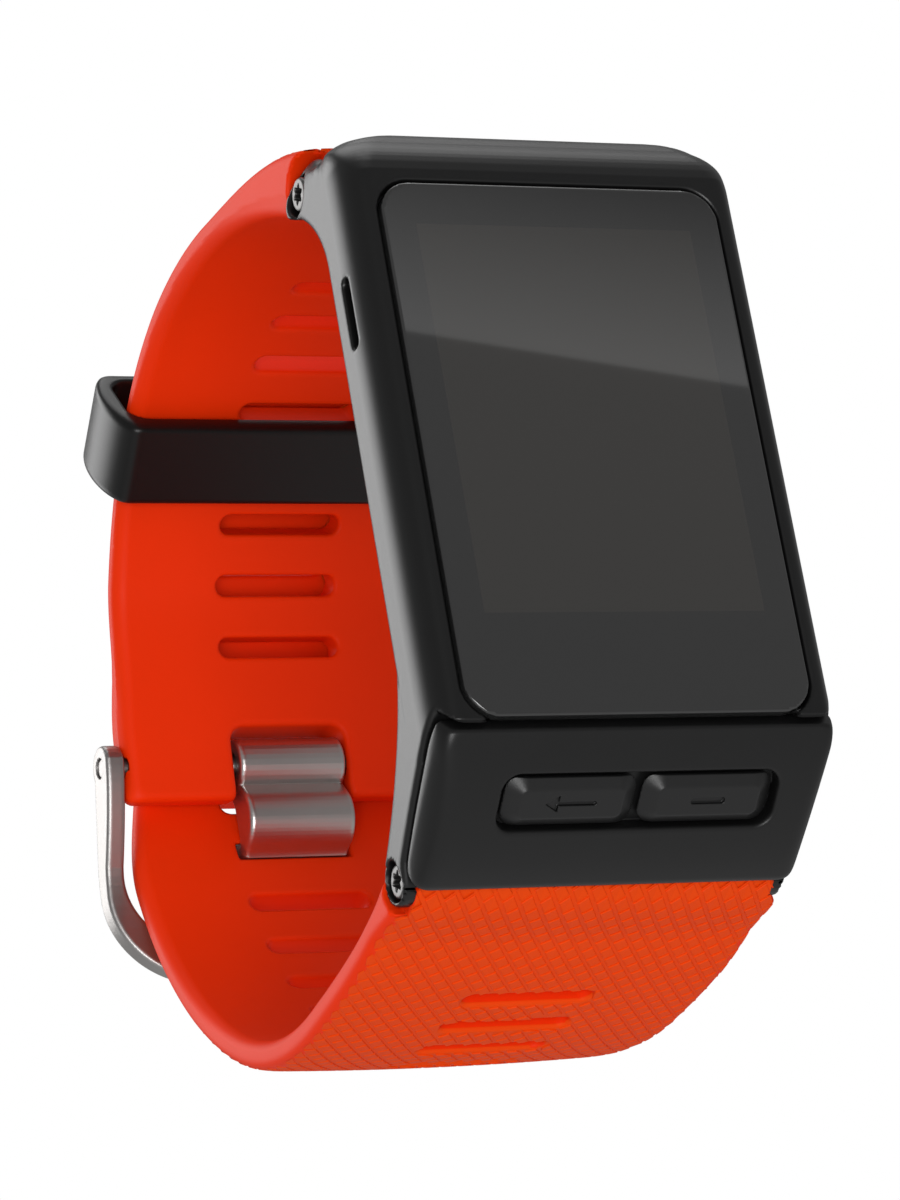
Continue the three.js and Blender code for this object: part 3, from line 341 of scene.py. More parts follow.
M = {
    "case": material("watch_case", (0.0045, 0.0045, 0.0046), 0.34, grain=0.10, grain_scale=14000, specular=0.42),
    "panel": material("watch_panel", (0.0055, 0.0055, 0.0056), 0.38, grain=0.12, grain_scale=14000, specular=0.36),
    "key": material("watch_key", (0.0075, 0.0075, 0.0077), 0.36, grain=0.15, grain_scale=16000, specular=0.42),
    "cover": material("watch_cover", (0.014, 0.014, 0.014), 0.55, grain=0.3, grain_scale=12000, specular=0.4),
    "keeper": material("watch_keeper", (0.0042, 0.0042, 0.0042), 0.34, grain=0.05, grain_scale=14000, specular=0.3),
    "gloss": material("watch_gloss", (0.006, 0.006, 0.006), 0.2, grain=0.05),
    "glass": glass_material(),
    "lens": material("watch_lens", (0.008, 0.0085, 0.01), 0.15, grain=0.0, coat=1.0, coat_rough=0.02),
    "rubber": material("strap_inner", (0.86, 0.033, 0.0008), 0.50, mottle=0.04, mottle_scale=120, grain=0.10,
                       grain_scale=9000, specular=0.10),
    # The outer face and its tiles use a paler, more orange copy of the same rubber as the inner face: painted light
    # for the light that falls on the outer face.
    "tiles": material("strap_outer_painted_light", (0.82, 0.062, 0.0030), 0.50, mottle=0.04, mottle_scale=150, grain=0.12,
                      grain_scale=9000, specular=0.06),
    "steel": material("buckle_steel", (0.56, 0.54, 0.525), 0.36, metal=1.0, mottle=0.05, grain=0.25,
                      grain_scale=11000, wear=0.05),
    "bow": material("bow_steel", (0.40, 0.385, 0.375), 0.42, metal=1.0, mottle=0.05, grain=0.25, grain_scale=11000),
    "screw": material("screw_steel", (0.15, 0.147, 0.145), 0.42, metal=1.0, mottle=0.1, grain=0.1, grain_scale=9000),
    "gold": material("contact_gold", (0.83, 0.60, 0.24), 0.25, metal=1.0, grain=0.1),
    "board": material("circuit_board", (0.02, 0.09, 0.05), 0.5, mottle=0.3, mottle_scale=700),
    "shield": material("shield_steel", (0.6, 0.61, 0.62), 0.35, metal=1.0, brush=(1, 12, 1)),
    "silicone": material("silicone", (0.07, 0.07, 0.07), 0.7, grain=0.3),
    "battery": material("battery_wrap", (0.45, 0.46, 0.48), 0.45, metal=0.4, mottle=0.12, mottle_scale=500),
    "ceramic": material("ceramic", (0.6, 0.56, 0.47), 0.6, grain=0.3),
    "led": material("led_window", (0.5, 0.8, 0.45), 0.2, grain=0.05, coat=0.5),
    "matte": material("display_back", (0.02, 0.02, 0.02), 0.6, grain=0.2),
}


# ------------------------------------------------------------------ case body
def upper_lug(grow=0.0):
    d, h = UPPER_BAR
    r = UPPER_LUG + grow
    points = [(RAIL - 2.5, h - 7.4), (RAIL - 0.1, h - 7.4)]
    points += bend(points[-1], (RAIL + 0.3, h - 4.2), (d - 0.3, h - r))
    points += arc(UPPER_BAR, r, -0.5 / math.pi, 0.2)
    points += bend(points[-1], (d + 1.2, h + r + 0.6), (RAIL + 1.0, CASE_TOP - 0.15 + grow))
    points.append((RAIL - 2.5, CASE_TOP - 1.5))
    return points


def lower_lug(grow=0.0):
    d, h = LOWER_BAR
    r = LOWER_LUG + grow
    start = (RAIL - 0.4, CAVITY[2] + 2.8)
    points = [start, on_panel(3.6, 1.8), on_panel(CHORD_LENGTH - 1.4, 1.8)]
    points += arc(LOWER_BAR, r, 1.18, 2.35)
    points += bend(points[-1], (d - 5.4, h + 6.3), (RAIL, CAVITY[2] + 2.8))
    return points


def body_profile():
    lip = (ALONG[0] * 0.3 - PANEL_START[0]) / INWARD[0]
    points = [on_panel(-0.3, lip), (0, CASE_TOP - 4.9)]
    points += bend(points[-1], (0.4, CASE_TOP - 2.2), (4.0, CASE_TOP - 0.9))
    points += [(6.15, CASE_TOP), (6.15, 17.3), (RAIL, 17.1), (RAIL, CAVITY[2] - 0.9)]
    points += [on_panel(CHORD_LENGTH - 4.2, 3.2), on_panel(CHORD_LENGTH - 3.4, 1.8), on_panel(-0.3, 1.8)]
    return points


def round_edge(q, front):
    """Elliptical rounding between a side (q inside) and a front plane (front: depth behind it)."""
    a, b = 2.2, 3.8
    e = np.hypot(np.maximum(a + q, 0) / a, np.maximum(b - front, 0) / b)
    return np.maximum(np.maximum(q, -front), (e - 1) * 2.8)


def case_envelope(x, d, h):
    r = 7.5 - 2.5 * np.clip(d / 3.8, 0, 1)
    half = HALF_CASE - 0.0375 * np.clip(-22.4 - h, 0, 20)
    qx, qz = np.abs(x) - half + r, h - (CASE_TOP + 0.2) + r
    q = np.hypot(np.maximum(qx, 0), np.maximum(qz, 0)) + np.minimum(np.maximum(qx, qz), 0) - r
    return round_edge(q, d)


def panel_axes(d, h):
    """Distance along the panel's chord and depth behind it."""
    return ((d - PANEL_START[0]) * ALONG[0] + (h - PANEL_START[1]) * ALONG[1],
            (d - PANEL_START[0]) * INWARD[0] + (h - PANEL_START[1]) * INWARD[1])


def panel_envelope(x, s, n):
    half = HALF_CASE - 0.6 * np.clip(s / CHORD_LENGTH, 0, 1.6) ** 1.6
    return round_edge(np.abs(x) - half, n + CROWN)


PROFILE, LUG_UP, LUG_LOW = body_profile(), upper_lug(), lower_lug()
BACK_PROFILE = [(RAIL - 1, CAVITY[2] - 0.9), (RAIL + 4, CAVITY[2] - 0.9), (11.1, -23.8), (10.4, -26.2),
                on_panel(CHORD_LENGTH - 3.2, 1.8), on_panel(2, 1.8)]


def case_body(x, d, h):
    s, n = panel_axes(d, h)
    main = smax(poly(d, h, PROFILE) + 0.05, np.abs(x) - HALF_CASE - 1, 0.1)
    back = smax(poly(d, h, BACK_PROFILE), np.abs(x) - (LUG_INNER - 0.3), 0.4)
    lugs = smin(poly(d, h, LUG_UP), poly(d, h, LUG_LOW), 0.2)
    lugs = smax(lugs, LUG_INNER - np.abs(x), 0.3)
    f = smin(smin(main, lugs, 0.15), back, 0.3)
    f = smax(f, case_envelope(x, d, h), 0.4 + 3.4 * np.clip((h - 18.5) / 3, 0, 1) * np.clip((9 - d) / 3.5, 0, 1))
    f = smax(f, panel_envelope(x, s, n), 0.5)
    x0, x1, h0, h1, r = GLASS
    opening = rect(x, h, x0 - GLASS_GAP, x1 + GLASS_GAP, h0 - GLASS_GAP, h1 + GLASS_GAP, r + GLASS_GAP)
    f = smax(f, -np.maximum(opening, d - 1.6), 0.3)
    f = np.maximum(f, -rect(x, h, -11.25, 11.25, -15.2, 15.2, 0.6))
    f = np.maximum(f, -np.maximum(rect(x, h, *CAVITY, 1.2), 2.4 - d))
    chamber = np.maximum(np.abs(x) - 11.6, np.maximum(np.abs(s - 5.3) - 3, slab(n, 0.5, 4.6)))
    f = np.maximum(f, -chamber)
    for bar, face, top in ((UPPER_BAR, HALF_CASE, 1), (LOWER_BAR, LUG_HALF, 0)):
        hole = np.maximum(disc(d, h, bar, 1.6 if top else 1.4), face - 1.45 - np.abs(x))
        f = smax(f, -hole, 0.25)
        f = np.maximum(f, -np.maximum(disc(d, h, bar, BAR_BORE), LUG_INNER - 1 - np.abs(x)))
    slot = np.maximum(rect(d, h, 2.55, 3.55, 6.3, 11.5, 0.49), x + 12.6)
    return smax(f, -slot, 0.2)


build("case_shell", in_case(case_body), (-15.2, -33.3, -31.6), (15.2, -18.3, 26.6), 0.25, "watch",
      M["case"], ["case_body"])


# ------------------------------------------------------------------ glass
def glass(x, d, h):
    edge = rect(x, h, *GLASS)
    return chamfer(edge, slab(d, 0, 1.0), 0.12)


build("cover_glass", in_case(glass), (-12.7, -33.25, -19.6), (12.7, -32.25, 19.5), 0.2, "watch",
      M["glass"], ["display_glass"])


# ------------------------------------------------------------------ button panel and keys
RECESS_HALF = KEY_LENGTH + KEY_SPLIT / 2 + KEY_MARGIN


def key_centre(side):
    return KEY_ROW_X + side * (KEY_LENGTH + KEY_SPLIT) / 2


def button_panel(x, d, h):
    s, n = panel_axes(d, h)
    t = np.clip(s / CHORD_LENGTH, 0, 1)
    crown = -4 * CROWN * t * (1 - t) - n
    f = smax(crown, n - 1.5, 0.3)
    f = smax(f, 0.04 - s, 0.25)
    f = smax(f, rect(x, s, -LUG_HALF - 0.6, LUG_HALF + 0.6, -9, CHORD_LENGTH, 2.4), 0.8)
    f = smax(f, panel_envelope(x, s, n), 0.5)
    f = smax(f, case_envelope(x, d, h), 0.5)
    w = KEY_WIDTH / 2 + KEY_MARGIN
    recess = rect(x - KEY_ROW_X, s - KEY_FROM_START, -RECESS_HALF, RECESS_HALF, -w, w, 1.25)
    f = smax(f, -np.maximum(recess, n - RECESS_FLOOR), 0.35)
    for side in (-1, 1):
        f = np.maximum(f, -rect(x - key_centre(side), s - KEY_FROM_START, -2.8, 2.8, -1.0, 1.0, 0.99))
    lug = np.maximum(disc(d, h, LOWER_BAR, LOWER_LUG + 0.3), LUG_INNER - 0.3 - np.abs(x))
    f = smax(f, -lug, 0.2)
    return np.maximum(f, -disc(d, h, LOWER_BAR, LOWER_LUG + 0.6))


build("front_panel", in_case(button_panel), (-15.2, -33.3, -31.6), (15.2, -21.0, -17.6), 0.2, "watch",
      M["panel"], ["button_panel"])


def key_cap(kind, cx):
    """A chamfered cap with its sunk mark and its stem, centred on cx."""
    low = RECESS_FLOOR - 0.5
    top = low - 0.75
    a, b = KEY_LENGTH / 2, KEY_WIDTH / 2

    def f(x, d, h):
        s, n = panel_axes(d, h)
        u, v = x - cx, s - KEY_FROM_START
        skirt = rect(u, v, -a, a, -b, b, 0.9)
        face = rect(u, v, -a + 1.15, a - 1.15, -b + 0.75, b - 0.75, 0.4)
        slope = (face * 0.62 + (top - n)) * 0.85
        cap = smax(smax(skirt, slab(n, top, low), 0.1), slope, 0.05)
        if kind == "back":
            shaft = rect(u, v, -1.3, 1.8, -0.15, 0.15, 0.14)
            tip = np.maximum(np.maximum(-1.9 - u, u + 0.95), np.abs(v) - (u + 1.9) * 0.66)
            mark = np.minimum(shaft, tip)
        else:
            mark = rect(u, v, -1.25, 1.25, -0.24, 0.24, 0.2)
        cap = smax(cap, -np.maximum(mark, n - top - 0.22), 0.06)
        stem = np.maximum(rect(u, v, -2.5, 2.5, -0.7, 0.7, 0.69), slab(n, low - 0.3, 2.0))
        return np.minimum(cap, stem)

    return f


for name, side in (("back", -1), ("select", 1)):
    cx = key_centre(side)
    build(f"{name}_key_cap", in_case(key_cap(name, cx)), (cx - 5, -33.0, -28.2), (cx + 5, -26.5, -20.5), 0.09,
          f"{name}_key", M["key"], [f"{name}_key"])


# ------------------------------------------------------------------ strap paths
def polar(r, deg):
    return np.array([r * math.cos(math.radians(deg)), r * math.sin(math.radians(deg))])


def heading(deg, turn):
    return np.array([-math.sin(math.radians(deg)), math.cos(math.radians(deg))]) * turn


def cubic(p, n=120):
    t = np.linspace(0, 1, n)[:, None]
    return (1 - t) ** 3 * p[0] + 3 * t * (1 - t) ** 2 * p[1] + 3 * t * t * (1 - t) * p[2] + t ** 3 * p[3]


def circle_arc(r, a0, a1, n=240):
    a = np.radians(np.linspace(a0, a1, n))
    return np.stack([r * np.cos(a), r * np.sin(a)], 1)


class Path:
    """A strap's inner face seen from the side, with positions by distance along it."""

    def __init__(self, parts):
        p = np.concatenate([parts[0]] + [q[1:] for q in parts[1:]])
        p = p[np.r_[True, np.hypot(*np.diff(p, axis=0).T) > 1e-9]]
        s = np.r_[0, np.cumsum(np.hypot(*np.diff(p, axis=0).T))]
        self.length = float(s[-1])
        self.s = np.linspace(0, self.length, 1600)
        self.p = np.stack([np.interp(self.s, s, p[:, i]) for i in (0, 1)], 1)
        t = np.gradient(self.p, self.s, axis=0)
        kernel = np.ones(15) / 15
        t = np.stack([np.convolve(np.pad(t[:, i], 7, "edge"), kernel, "valid") for i in (0, 1)], 1)
        self.t = t / np.hypot(*t.T)[:, None]
        n = np.stack([self.t[:, 1], -self.t[:, 0]], 1)
        self.turn = 1 if np.sum(n * self.p) > 0 else -1
        self.n = n * self.turn

    def at(self, s):
        """y, z, and the outward direction at distances along the path, which goes on straight past its ends."""
        c = np.clip(s, 0, self.length)
        look = lambda a: np.interp(c, self.s, a)
        y, z, ty, tz, ny, nz = (look(a) for a in (*self.p.T, *self.t.T, *self.n.T))
        return y + ty * (s - c), z + tz * (s - c), ny, nz, ty, tz

    def distance(self, deg):
        a = np.degrees(np.arctan2(self.p[:, 1], self.p[:, 0]))
        return float(self.s[np.argmin(np.abs(a - deg))])


UB = np.array([UPPER_BAR[0] + FACE_Y, UPPER_BAR[1] + FACE_Z])
LB = np.array([LOWER_BAR[0] + FACE_Y, LOWER_BAR[1] + FACE_Z])
TAIL_R = WRIST_R + STRAP_T + STRAP_CROWN + LAYER_GAP
us, ls = UB + (0.4, -2.1), LB + (0.6, 1.7)
UPPER = Path([
    cubic([us, us + (8.6, 6.3), polar(WRIST_R, 80) + heading(80, 1) * 9.6, polar(WRIST_R, 80)]),
    circle_arc(WRIST_R, 80, 30),
    cubic([polar(WRIST_R, 30), polar(WRIST_R, 30) + heading(30, -1) * 3.0, np.array([PIN[0] - 2.0, PIN[1] + 3.7]),
           np.array([PIN[0] - 1.3, PIN[1] - 3.2])]),
])
LOWER = Path([
    cubic([ls, ls + (4.4, -3.2), polar(LOWER_R, -95) + heading(-95, -1) * 6.0, polar(LOWER_R, -95)]),
    circle_arc(LOWER_R, -95, -20),
    cubic([polar(LOWER_R, -20), polar(LOWER_R, -20) + heading(-20, 1) * 5.0, polar(TAIL_R, 8) + heading(8, -1) * 5.0,
           polar(TAIL_R, 8)]),
    circle_arc(TAIL_R, 8, 61),
])


def ease(v, a, b):
    t = np.clip((v - a) / (b - a), 0, 1)
    return t * t * (3 - 2 * t)


def lerp(a, b, t):
    return a + (b - a) * t


# ------------------------------------------------------------------ strap shapes
def upper_size(s):
    f = s / UPPER.length
    half = lerp(STRAP_HALF_AT_LUG, STRAP_HALF, ease(f, 0.12, 0.78)) + 0.24 * ease(f, 0.84, 0.93)
    thick = STRAP_T + 3.4 * (1 - ease(f, -0.06, 0.27)) + 0.9 * ease(s, UPPER.length - 13, UPPER.length - 6)
    return half, thick - 0.8 * ease(s, UPPER.length - 2.4, UPPER.length)


TANG_S = LOWER.distance(-13)


def lower_size(s):
    f = s / LOWER.length
    at_tang = TANG_S / LOWER.length
    half = lerp(STRAP_HALF_AT_LUG, STRAP_HALF, ease(f, 0.08, 0.42))
    half = lerp(half, TAIL_HALF, ease(f, at_tang - 0.03, at_tang + 0.12))
    return half, STRAP_T + 1.5 * (1 - ease(f, 0, 0.06)) - 0.4 * ease(s, LOWER.length - 3, LOWER.length)


FIRST = UPPER.distance(19.9)
UPPER_STEP = SLOT_PITCH / ((WRIST_R + STRAP_T / 2) / WRIST_R)
LOWER_STEP = SLOT_PITCH / (1 + STRAP_T / 2 / LOWER_R)
UPPER_SLOTS = [FIRST - i * UPPER_STEP for i in range(8)]
NEAR = LOWER.distance(-88.4)
LOWER_SLOTS = [TANG_S + i * LOWER_STEP for i in range(-7, 6) if i] + [NEAR - i * NEAR_PITCH for i in range(3)]
LUG_NOTCH = 13.35  # the lower band closes round the inner part of its lugs
TILE_DROP = 0.14  # the bands between the tiles lie this much under the CAD's outer face


def slot_distance(u, s, slots):
    a, b = SLOT_HALF
    f = 1e9
    for c in slots:
        f = np.minimum(f, rect(u, s, -a, a, c - b, c + b, 0.79))
    return f


def strap(path, size, slots, tail):
    """A strap in its own coordinates. The one with a tail is the lower strap, which has the window for the tang."""
    def f(u, s, h):
        half, thick = size(s)
        top = thick + STRAP_CROWN * (1 - (u / half) ** 2) - TILE_DROP
        width = np.abs(u) - half + 0.45 * np.clip(1 - h / (0.35 * thick), 0, 1)
        if tail:
            end = rect(u, s, -half, half, -30, path.length, 5.5)
            width = smax(width, end, 0.4)
        else:
            width = smax(width, s - path.length, 0.8)
        g = smax(smax(width, h - top, 0.9), -h, 0.7)
        g = smax(g, (-3.4 if tail else -2.8) - s, 0.3)
        g = smax(g, -slot_distance(u, s, slots), 0.35)
        y, z, ny, nz, _, _ = path.at(s)
        y, z = y + ny * h, z + nz * h
        d, hh = y - FACE_Y, z - FACE_Z
        if tail:
            g = np.minimum(g, np.maximum(np.hypot(y - LB[0], z - LB[1]) - 1.9, np.abs(u) - LUG_INNER + 0.3))
            lug = np.minimum.reduce([poly(d - ny * out, hh - nz * out, LUG_LOW) for out in (0, 0.45, 0.9)]) - 0.1
            lug = np.maximum(lug, LUG_NOTCH - np.abs(u))
            a, n = panel_axes(d, hh)
            t = np.clip(a / CHORD_LENGTH, 0, 1)
            corner = rect(u, a, -LUG_HALF - 0.6, LUG_HALF + 0.6, -9, CHORD_LENGTH, 2.4) - 0.08
            cover = np.maximum(np.maximum(-4 * CROWN * t * (1 - t) - n - 0.1, corner), n - 1.8)
            g = smax(g, -smin(cover, lug, 0.8), 0.15)
            g = np.maximum(g, -(np.hypot(y - LB[0], z - LB[1]) - BAR_BORE))
            r = np.hypot(y - PIN[0], z - PIN[1])
            sweep = np.maximum(slab(r, 6.08, 7.48), np.abs(u) - 4.65)
            g = smax(g, -np.maximum(sweep, np.maximum(z - PIN[1] + 1.6, s - TANG_S - 4)), 0.22)
        else:
            g = np.minimum(g, np.maximum(np.hypot(y - UB[0], z - UB[1]) - 2.05, np.abs(u) - LUG_INNER + 0.3))
            g = smax(g, -np.maximum(poly(d, hh, LUG_UP) - 0.1, LUG_INNER - 0.12 - np.abs(u)), 0.15)
            g = smax(g, -np.maximum(d - 6.4, 14.9 - hh), 0.3)
            g = np.maximum(g, -(np.hypot(y - UB[0], z - UB[1]) - BAR_BORE))
            notch = rect(u, z, -4.75, 4.75, -20, PIN[1] + 2.65, 1.2)
            g = smax(g, -np.maximum(notch, 20 - y), 0.5)
            g = np.maximum(g, -(np.hypot(y - PIN[0], z - PIN[1]) - PIN_R - 0.3))
        return g

    return f


TILE_A = np.array([1.41, 0.053])  # from a tile to its neighbour across the strap
TILE_B = np.array([0.72, 0.965])  # and to the next one along it
TILE_EDGE = np.array([0.67, -0.525])  # the tile's own short side
TILE_KEEP = 0.86  # share of TILE_B that a tile fills
TILE_COLUMNS = range(-100, 30)  # enough to cross the strap in every row
TILE_RINGS = ((0.0, -0.06), (0.02, 0.05), (0.14, 0.11))  # share moved in to the tile's centre, and rise


def clear_of_edges(ring, half, slots, inset, near_slot):
    """Corners moved back on to the flat of the band, clear of its sides and slots."""
    ring = ring.copy()
    edge = half - 0.42 - 0.3 * inset
    ring[:, 0] = np.clip(ring[:, 0], -edge, edge)
    for _ in range(3 if near_slot else 0):
        miss = 0.22 + 0.3 * inset - slot_distance(*ring.T, slots)
        for axis in (0, 1):
            ahead, back = ring.copy(), ring.copy()
            ahead[:, axis] += 0.01
            back[:, axis] -= 0.01
            slope = (slot_distance(*ahead.T, slots) - slot_distance(*back.T, slots)) / 0.02
            ring[:, axis] += np.maximum(miss, 0) * np.clip(slope, -1, 1)
    return ring


def tiles(path, size, slots, f, s0, s1):
    """Raised rhombic tiles on the outer face: corner points and faces in strap coordinates."""
    rows = int((s1 - s0) / TILE_B[1]) + 2
    points, faces = [], []
    order = [(0, 0), (1, 0), (1, 1), (0, 1)]
    for j in range(-1, rows):
        for i in TILE_COLUMNS:
            base = np.array([0, s0]) + i * TILE_A + j * TILE_B
            centre = base + (TILE_EDGE + TILE_B * TILE_KEEP) / 2
            half, _ = size(centre[1])
            if abs(centre[0]) > half - 0.30 or not s0 < centre[1] < s1:
                continue
            from_slot = slot_distance(centre[0], centre[1], slots)
            if from_slot < 0.12:
                continue
            ring = np.array([base + a * TILE_EDGE + b * TILE_B * TILE_KEEP for a, b in order])
            k = len(points)
            for inset, rise in TILE_RINGS:
                for p in clear_of_edges(ring + (centre - ring) * inset, half, slots, inset, from_slot < 1.1):
                    half_p, thick = size(p[1])
                    top = thick + STRAP_CROWN * (1 - (p[0] / half_p) ** 2) - TILE_DROP
                    room = half_p - abs(p[0])
                    near = max(0.0, 0.9 - room)
                    rounding = (math.sqrt((3.6 - 2 * near) ** 2 - 4 * near ** 2) - (3.6 - 2 * near)) / 2
                    points.append((p[0], p[1], top + rounding + rise * min(1.0, 0.15 + 0.7 * (room - 0.4))))
            for lift in (0, 4):
                for q in range(4):
                    faces.append((k + lift + q, k + lift + (q + 1) % 4, k + lift + 4 + (q + 1) % 4, k + lift + 4 + q))
            faces.append((k + 8, k + 9, k + 10, k + 11))
    points = np.array(points)
    keep = f(*points.T) < 0.30
    return points, [q for q in faces if all(keep[v] for v in q)]


def strap_piece(name, path, size, slots, tail, replaces, lo, hi, tile_from, tile_to):
    """A band meshed flat in strap coordinates and then bent along its path, with its tiles as a second piece."""
    f = strap(path, size, slots, tail)
    p, quads, g = surface(f, lo, hi, 0.25)
    y, z, ny, nz, ty, tz = path.at(p[:, 1])
    world = np.stack([p[:, 0], y + ny * p[:, 2], z + nz * p[:, 2]], 1)
    normals = np.stack([g[:, 0], g[:, 1] * ty + g[:, 2] * ny, g[:, 1] * tz + g[:, 2] * nz], 1)
    left_handed = path.turn > 0
    if left_handed:
        quads = quads[:, ::-1]
    _, thick = size(p[:, 1])
    # Faces on the outer face take the paler rubber copy, which paints the light falling there.
    outer = (p[:, 2] > 0.93 * thick)[quads].all(1)
    make(name, world, quads, normals, "watch", [M["rubber"], M["tiles"]], replaces, outer.astype(int))
    q, faces = tiles(path, size, slots, f, tile_from, tile_to)
    y, z, ny, nz, _, _ = path.at(q[:, 1])
    world = np.stack([q[:, 0], y + ny * q[:, 2], z + nz * q[:, 2]], 1)
    used = sorted({v for face in faces for v in face})
    index = {v: i for i, v in enumerate(used)}
    flip = -1 if left_handed else 1
    faces = [tuple(index[v] for v in face)[::flip] for face in faces]
    # The tiles take the same paler rubber copy, painted light on the outer face.
    make(f"{name}_tiles", world[used], faces, None, "watch", [M["tiles"]])


strap_piece("upper_band", UPPER, upper_size, UPPER_SLOTS, False, ["upper_strap"], (-14.8, -3.0, -0.2),
            (14.8, UPPER.length + 0.4, 6.4), 0.5, UPPER.length - 4.0)
strap_piece("lower_band", LOWER, lower_size, LOWER_SLOTS, True, ["lower_strap"], (-14.8, -3.6, -0.2),
            (14.8, LOWER.length + 0.4, 4.4), -2.6, LOWER.length - 1.2)


# ------------------------------------------------------------------ keeper
def keeper(x, y, z):
    out, down = polar(1, KEEPER_ANGLE), heading(KEEPER_ANGLE, -1)
    h = y * out[0] + z * out[1] - WRIST_R
    s = y * down[0] + z * down[1]
    sag = WRIST_R - math.sqrt(WRIST_R ** 2 - (KEEPER_LENGTH / 2) ** 2)
    low, high = -sag - 0.3, 2 * (STRAP_T + STRAP_CROWN) + LAYER_GAP + 0.3
    middle, reach = (low + high - 0.25) / 2, (high - low + 3.25) / 2
    side = np.hypot(np.maximum(np.abs(x) - 13.2, 0) / 2.1, (h - middle) / (reach * 1.02)) - 1
    outer = smax(side * 2.1, np.abs(h - middle) - reach, 0.5)
    inner = rect(x, h, -13.8, 13.8, low, high, 1.6)
    f = smax(outer, np.abs(s) - KEEPER_LENGTH / 2, 0.7)
    return smax(f, -inner, 0.4)


build("keeper_loop", keeper, (-15.4, 9.5, 15.5), (15.4, 25.0, 31.0), 0.2, "strap_keeper", M["keeper"],
      ["strap_keeper"])


# ------------------------------------------------------------------ buckle
def frame_profile():
    y, z = PIN
    end = BOW_END
    points = arc(PIN, 1.75, -0.1, 0.95)
    points += bend(points[-1], (y - 1.3, z - 2.5), (y + 1.6, z - 7.5))
    points += bend(points[-1], (y + 2.6, z - 10.5), (y + 1.9, end))
    points.append((y + 3.6, end))
    points += bend(points[-1], (y + 4.4, z - 9.5), (y + 3.7, z - 7.0))
    return points


FRAME_PROFILE = frame_profile()


def buckle_frame(x, y, z):
    side = poly(y, z, FRAME_PROFILE)
    outer = rect(x, z, -BOW_HALF, BOW_HALF, BOW_END, PIN[1] + 12, 7.2)
    inner = rect(x, z, -BOW_HALF_INSIDE, BOW_HALF_INSIDE, BOW_END + 2.8, PIN[1] + 15, 5.8)
    f = smax(side, outer, 0.4)
    f = smax(f, -inner, 0.35)
    return np.maximum(f, -disc(y, z, PIN, 0.81))


build("buckle_bow", buckle_frame, (-15.3, 25.8, -16.4), (15.3, 33.0, 2.4), 0.16, "buckle_frame",
      M["bow"], ["buckle_frame"])


def tang_profile():
    y, z = PIN
    points = arc(PIN, 2.1, -0.12, 1.36, 24)
    points += arc((y + 0.15, z - 4.5), 2.5, 0.75, 1.5, 20)
    points += [(y + 0.9, z - 6.1), (y + 0.95, z - 3.2)]
    return points


TANG_PROFILE = tang_profile()


def tang(x, y, z):
    r = np.hypot(y - PIN[0], z - PIN[1])
    a = np.degrees(np.arctan2(z - PIN[1], y - PIN[0]))
    hook = np.maximum(slab(r, 6.2, 7.4), slab(a, -87, -52) * 0.1)
    f = smin(poly(y, z, TANG_PROFILE), hook, 0.9)
    f = smax(f, np.abs(x) - TANG_HALF, 0.5)
    return np.maximum(f, -(r - 1.0))


build("buckle_tongue", tang, (-4.5, 25.5, -7.6), (4.5, 33.5, 2.4), 0.12, "buckle_tang", M["steel"],
      ["buckle_tang"])


def pin_rod(x, y, z):
    return chamfer(np.hypot(y - PIN[0], z - PIN[1]) - PIN_R, np.abs(x) - PIN_HALF, 0.06)


build("buckle_axle", pin_rod, (-15.2, 27.2, -0.5), (15.2, 29.0, 1.2), 0.12, "watch", M["bow"],
      ["buckle_pin"])


# ------------------------------------------------------------------ screws
def lug_screw(side, bar, face):
    out = face - 0.45

    def f(x, d, h):
        u = side * x
        r, a = np.hypot(d - bar[0], h - bar[1]), np.arctan2(h - bar[1], d - bar[0])
        head = smax(r - 1.2, slab(u, out - 0.9, out), 0.3)
        socket = np.maximum(r - (0.62 + 0.13 * np.cos(6 * a)), out - 0.6 - u)
        shank = np.maximum(r - 0.65, slab(u, LUG_INNER, out - 0.7))
        return np.minimum(smax(head, -socket, 0.08), shank)

    return f


for end, bar, face in (("upper", UPPER_BAR, HALF_CASE), ("lower", LOWER_BAR, LUG_HALF)):
    for side_name, side in (("left", -1), ("right", 1)):
        y, z = bar[0] + FACE_Y, bar[1] + FACE_Z
        x0, x1 = sorted((side * (LUG_INNER - 0.1), side * face))
        build(f"{end}_{side_name}_screw", in_case(lug_screw(side, bar, face)), (x0, y - 1.3, z - 1.3),
              (x1, y + 1.3, z + 1.3), 0.07, "watch", M["screw"], [f"{end}_{side_name}_lug_screw"])


# ------------------------------------------------------------------ rear cover, sensor window and contacts
def rear_cover(x, d, h):
    flange = smax(rect(x, h, -12.3, 12.3, CAVITY[2] - 0.1, 17.0, 3.0), slab(d, 5.8, 7.2), 0.4)
    plateau = smax(rect(x, h, -11.6, 11.6, -17.6, 14.9, 5.5), slab(d, 5.8, 11.4), 1.4)
    f = smin(flange, plateau, 0.8)
    f = np.maximum(f, -np.maximum(rect(x, h, -10.4, 10.4, -16.4, 13.7, 4.3), d - 10.2))
    f = smax(f, -disc(x, h, (0, LENS_HEIGHT), 5.6), 0.25)
    f = smax(f, -rect(x, h, -5.2, 5.2, -15.0, -12.2, 0.3), 0.2)
    for centre in COVER_SCREWS:
        f = smax(f, -disc(x, h, centre, 0.9), 0.2)
    return f


build("back_cover", in_case(rear_cover), (-12.4, -27.5, -17.6), (12.4, -21.8, 19.1), 0.22, "watch",
      M["cover"], ["rear_cover"])


def lens(x, d, h):
    return smax(disc(x, h, (0, LENS_HEIGHT), 5.5), slab(d, 10.2, 11.4), 0.5)


build("heart_rate_window", in_case(lens), (-5.6, -23.1, -4.6), (5.6, -21.8, 6.6), 0.18, "watch",
      M["lens"], ["sensor_lens"])


def contact(cx):
    def f(x, d, h):
        return smax(disc(x, h, (cx, CONTACT_HEIGHT), 0.75), slab(d, 9.0, 11.4), 0.35)

    return f


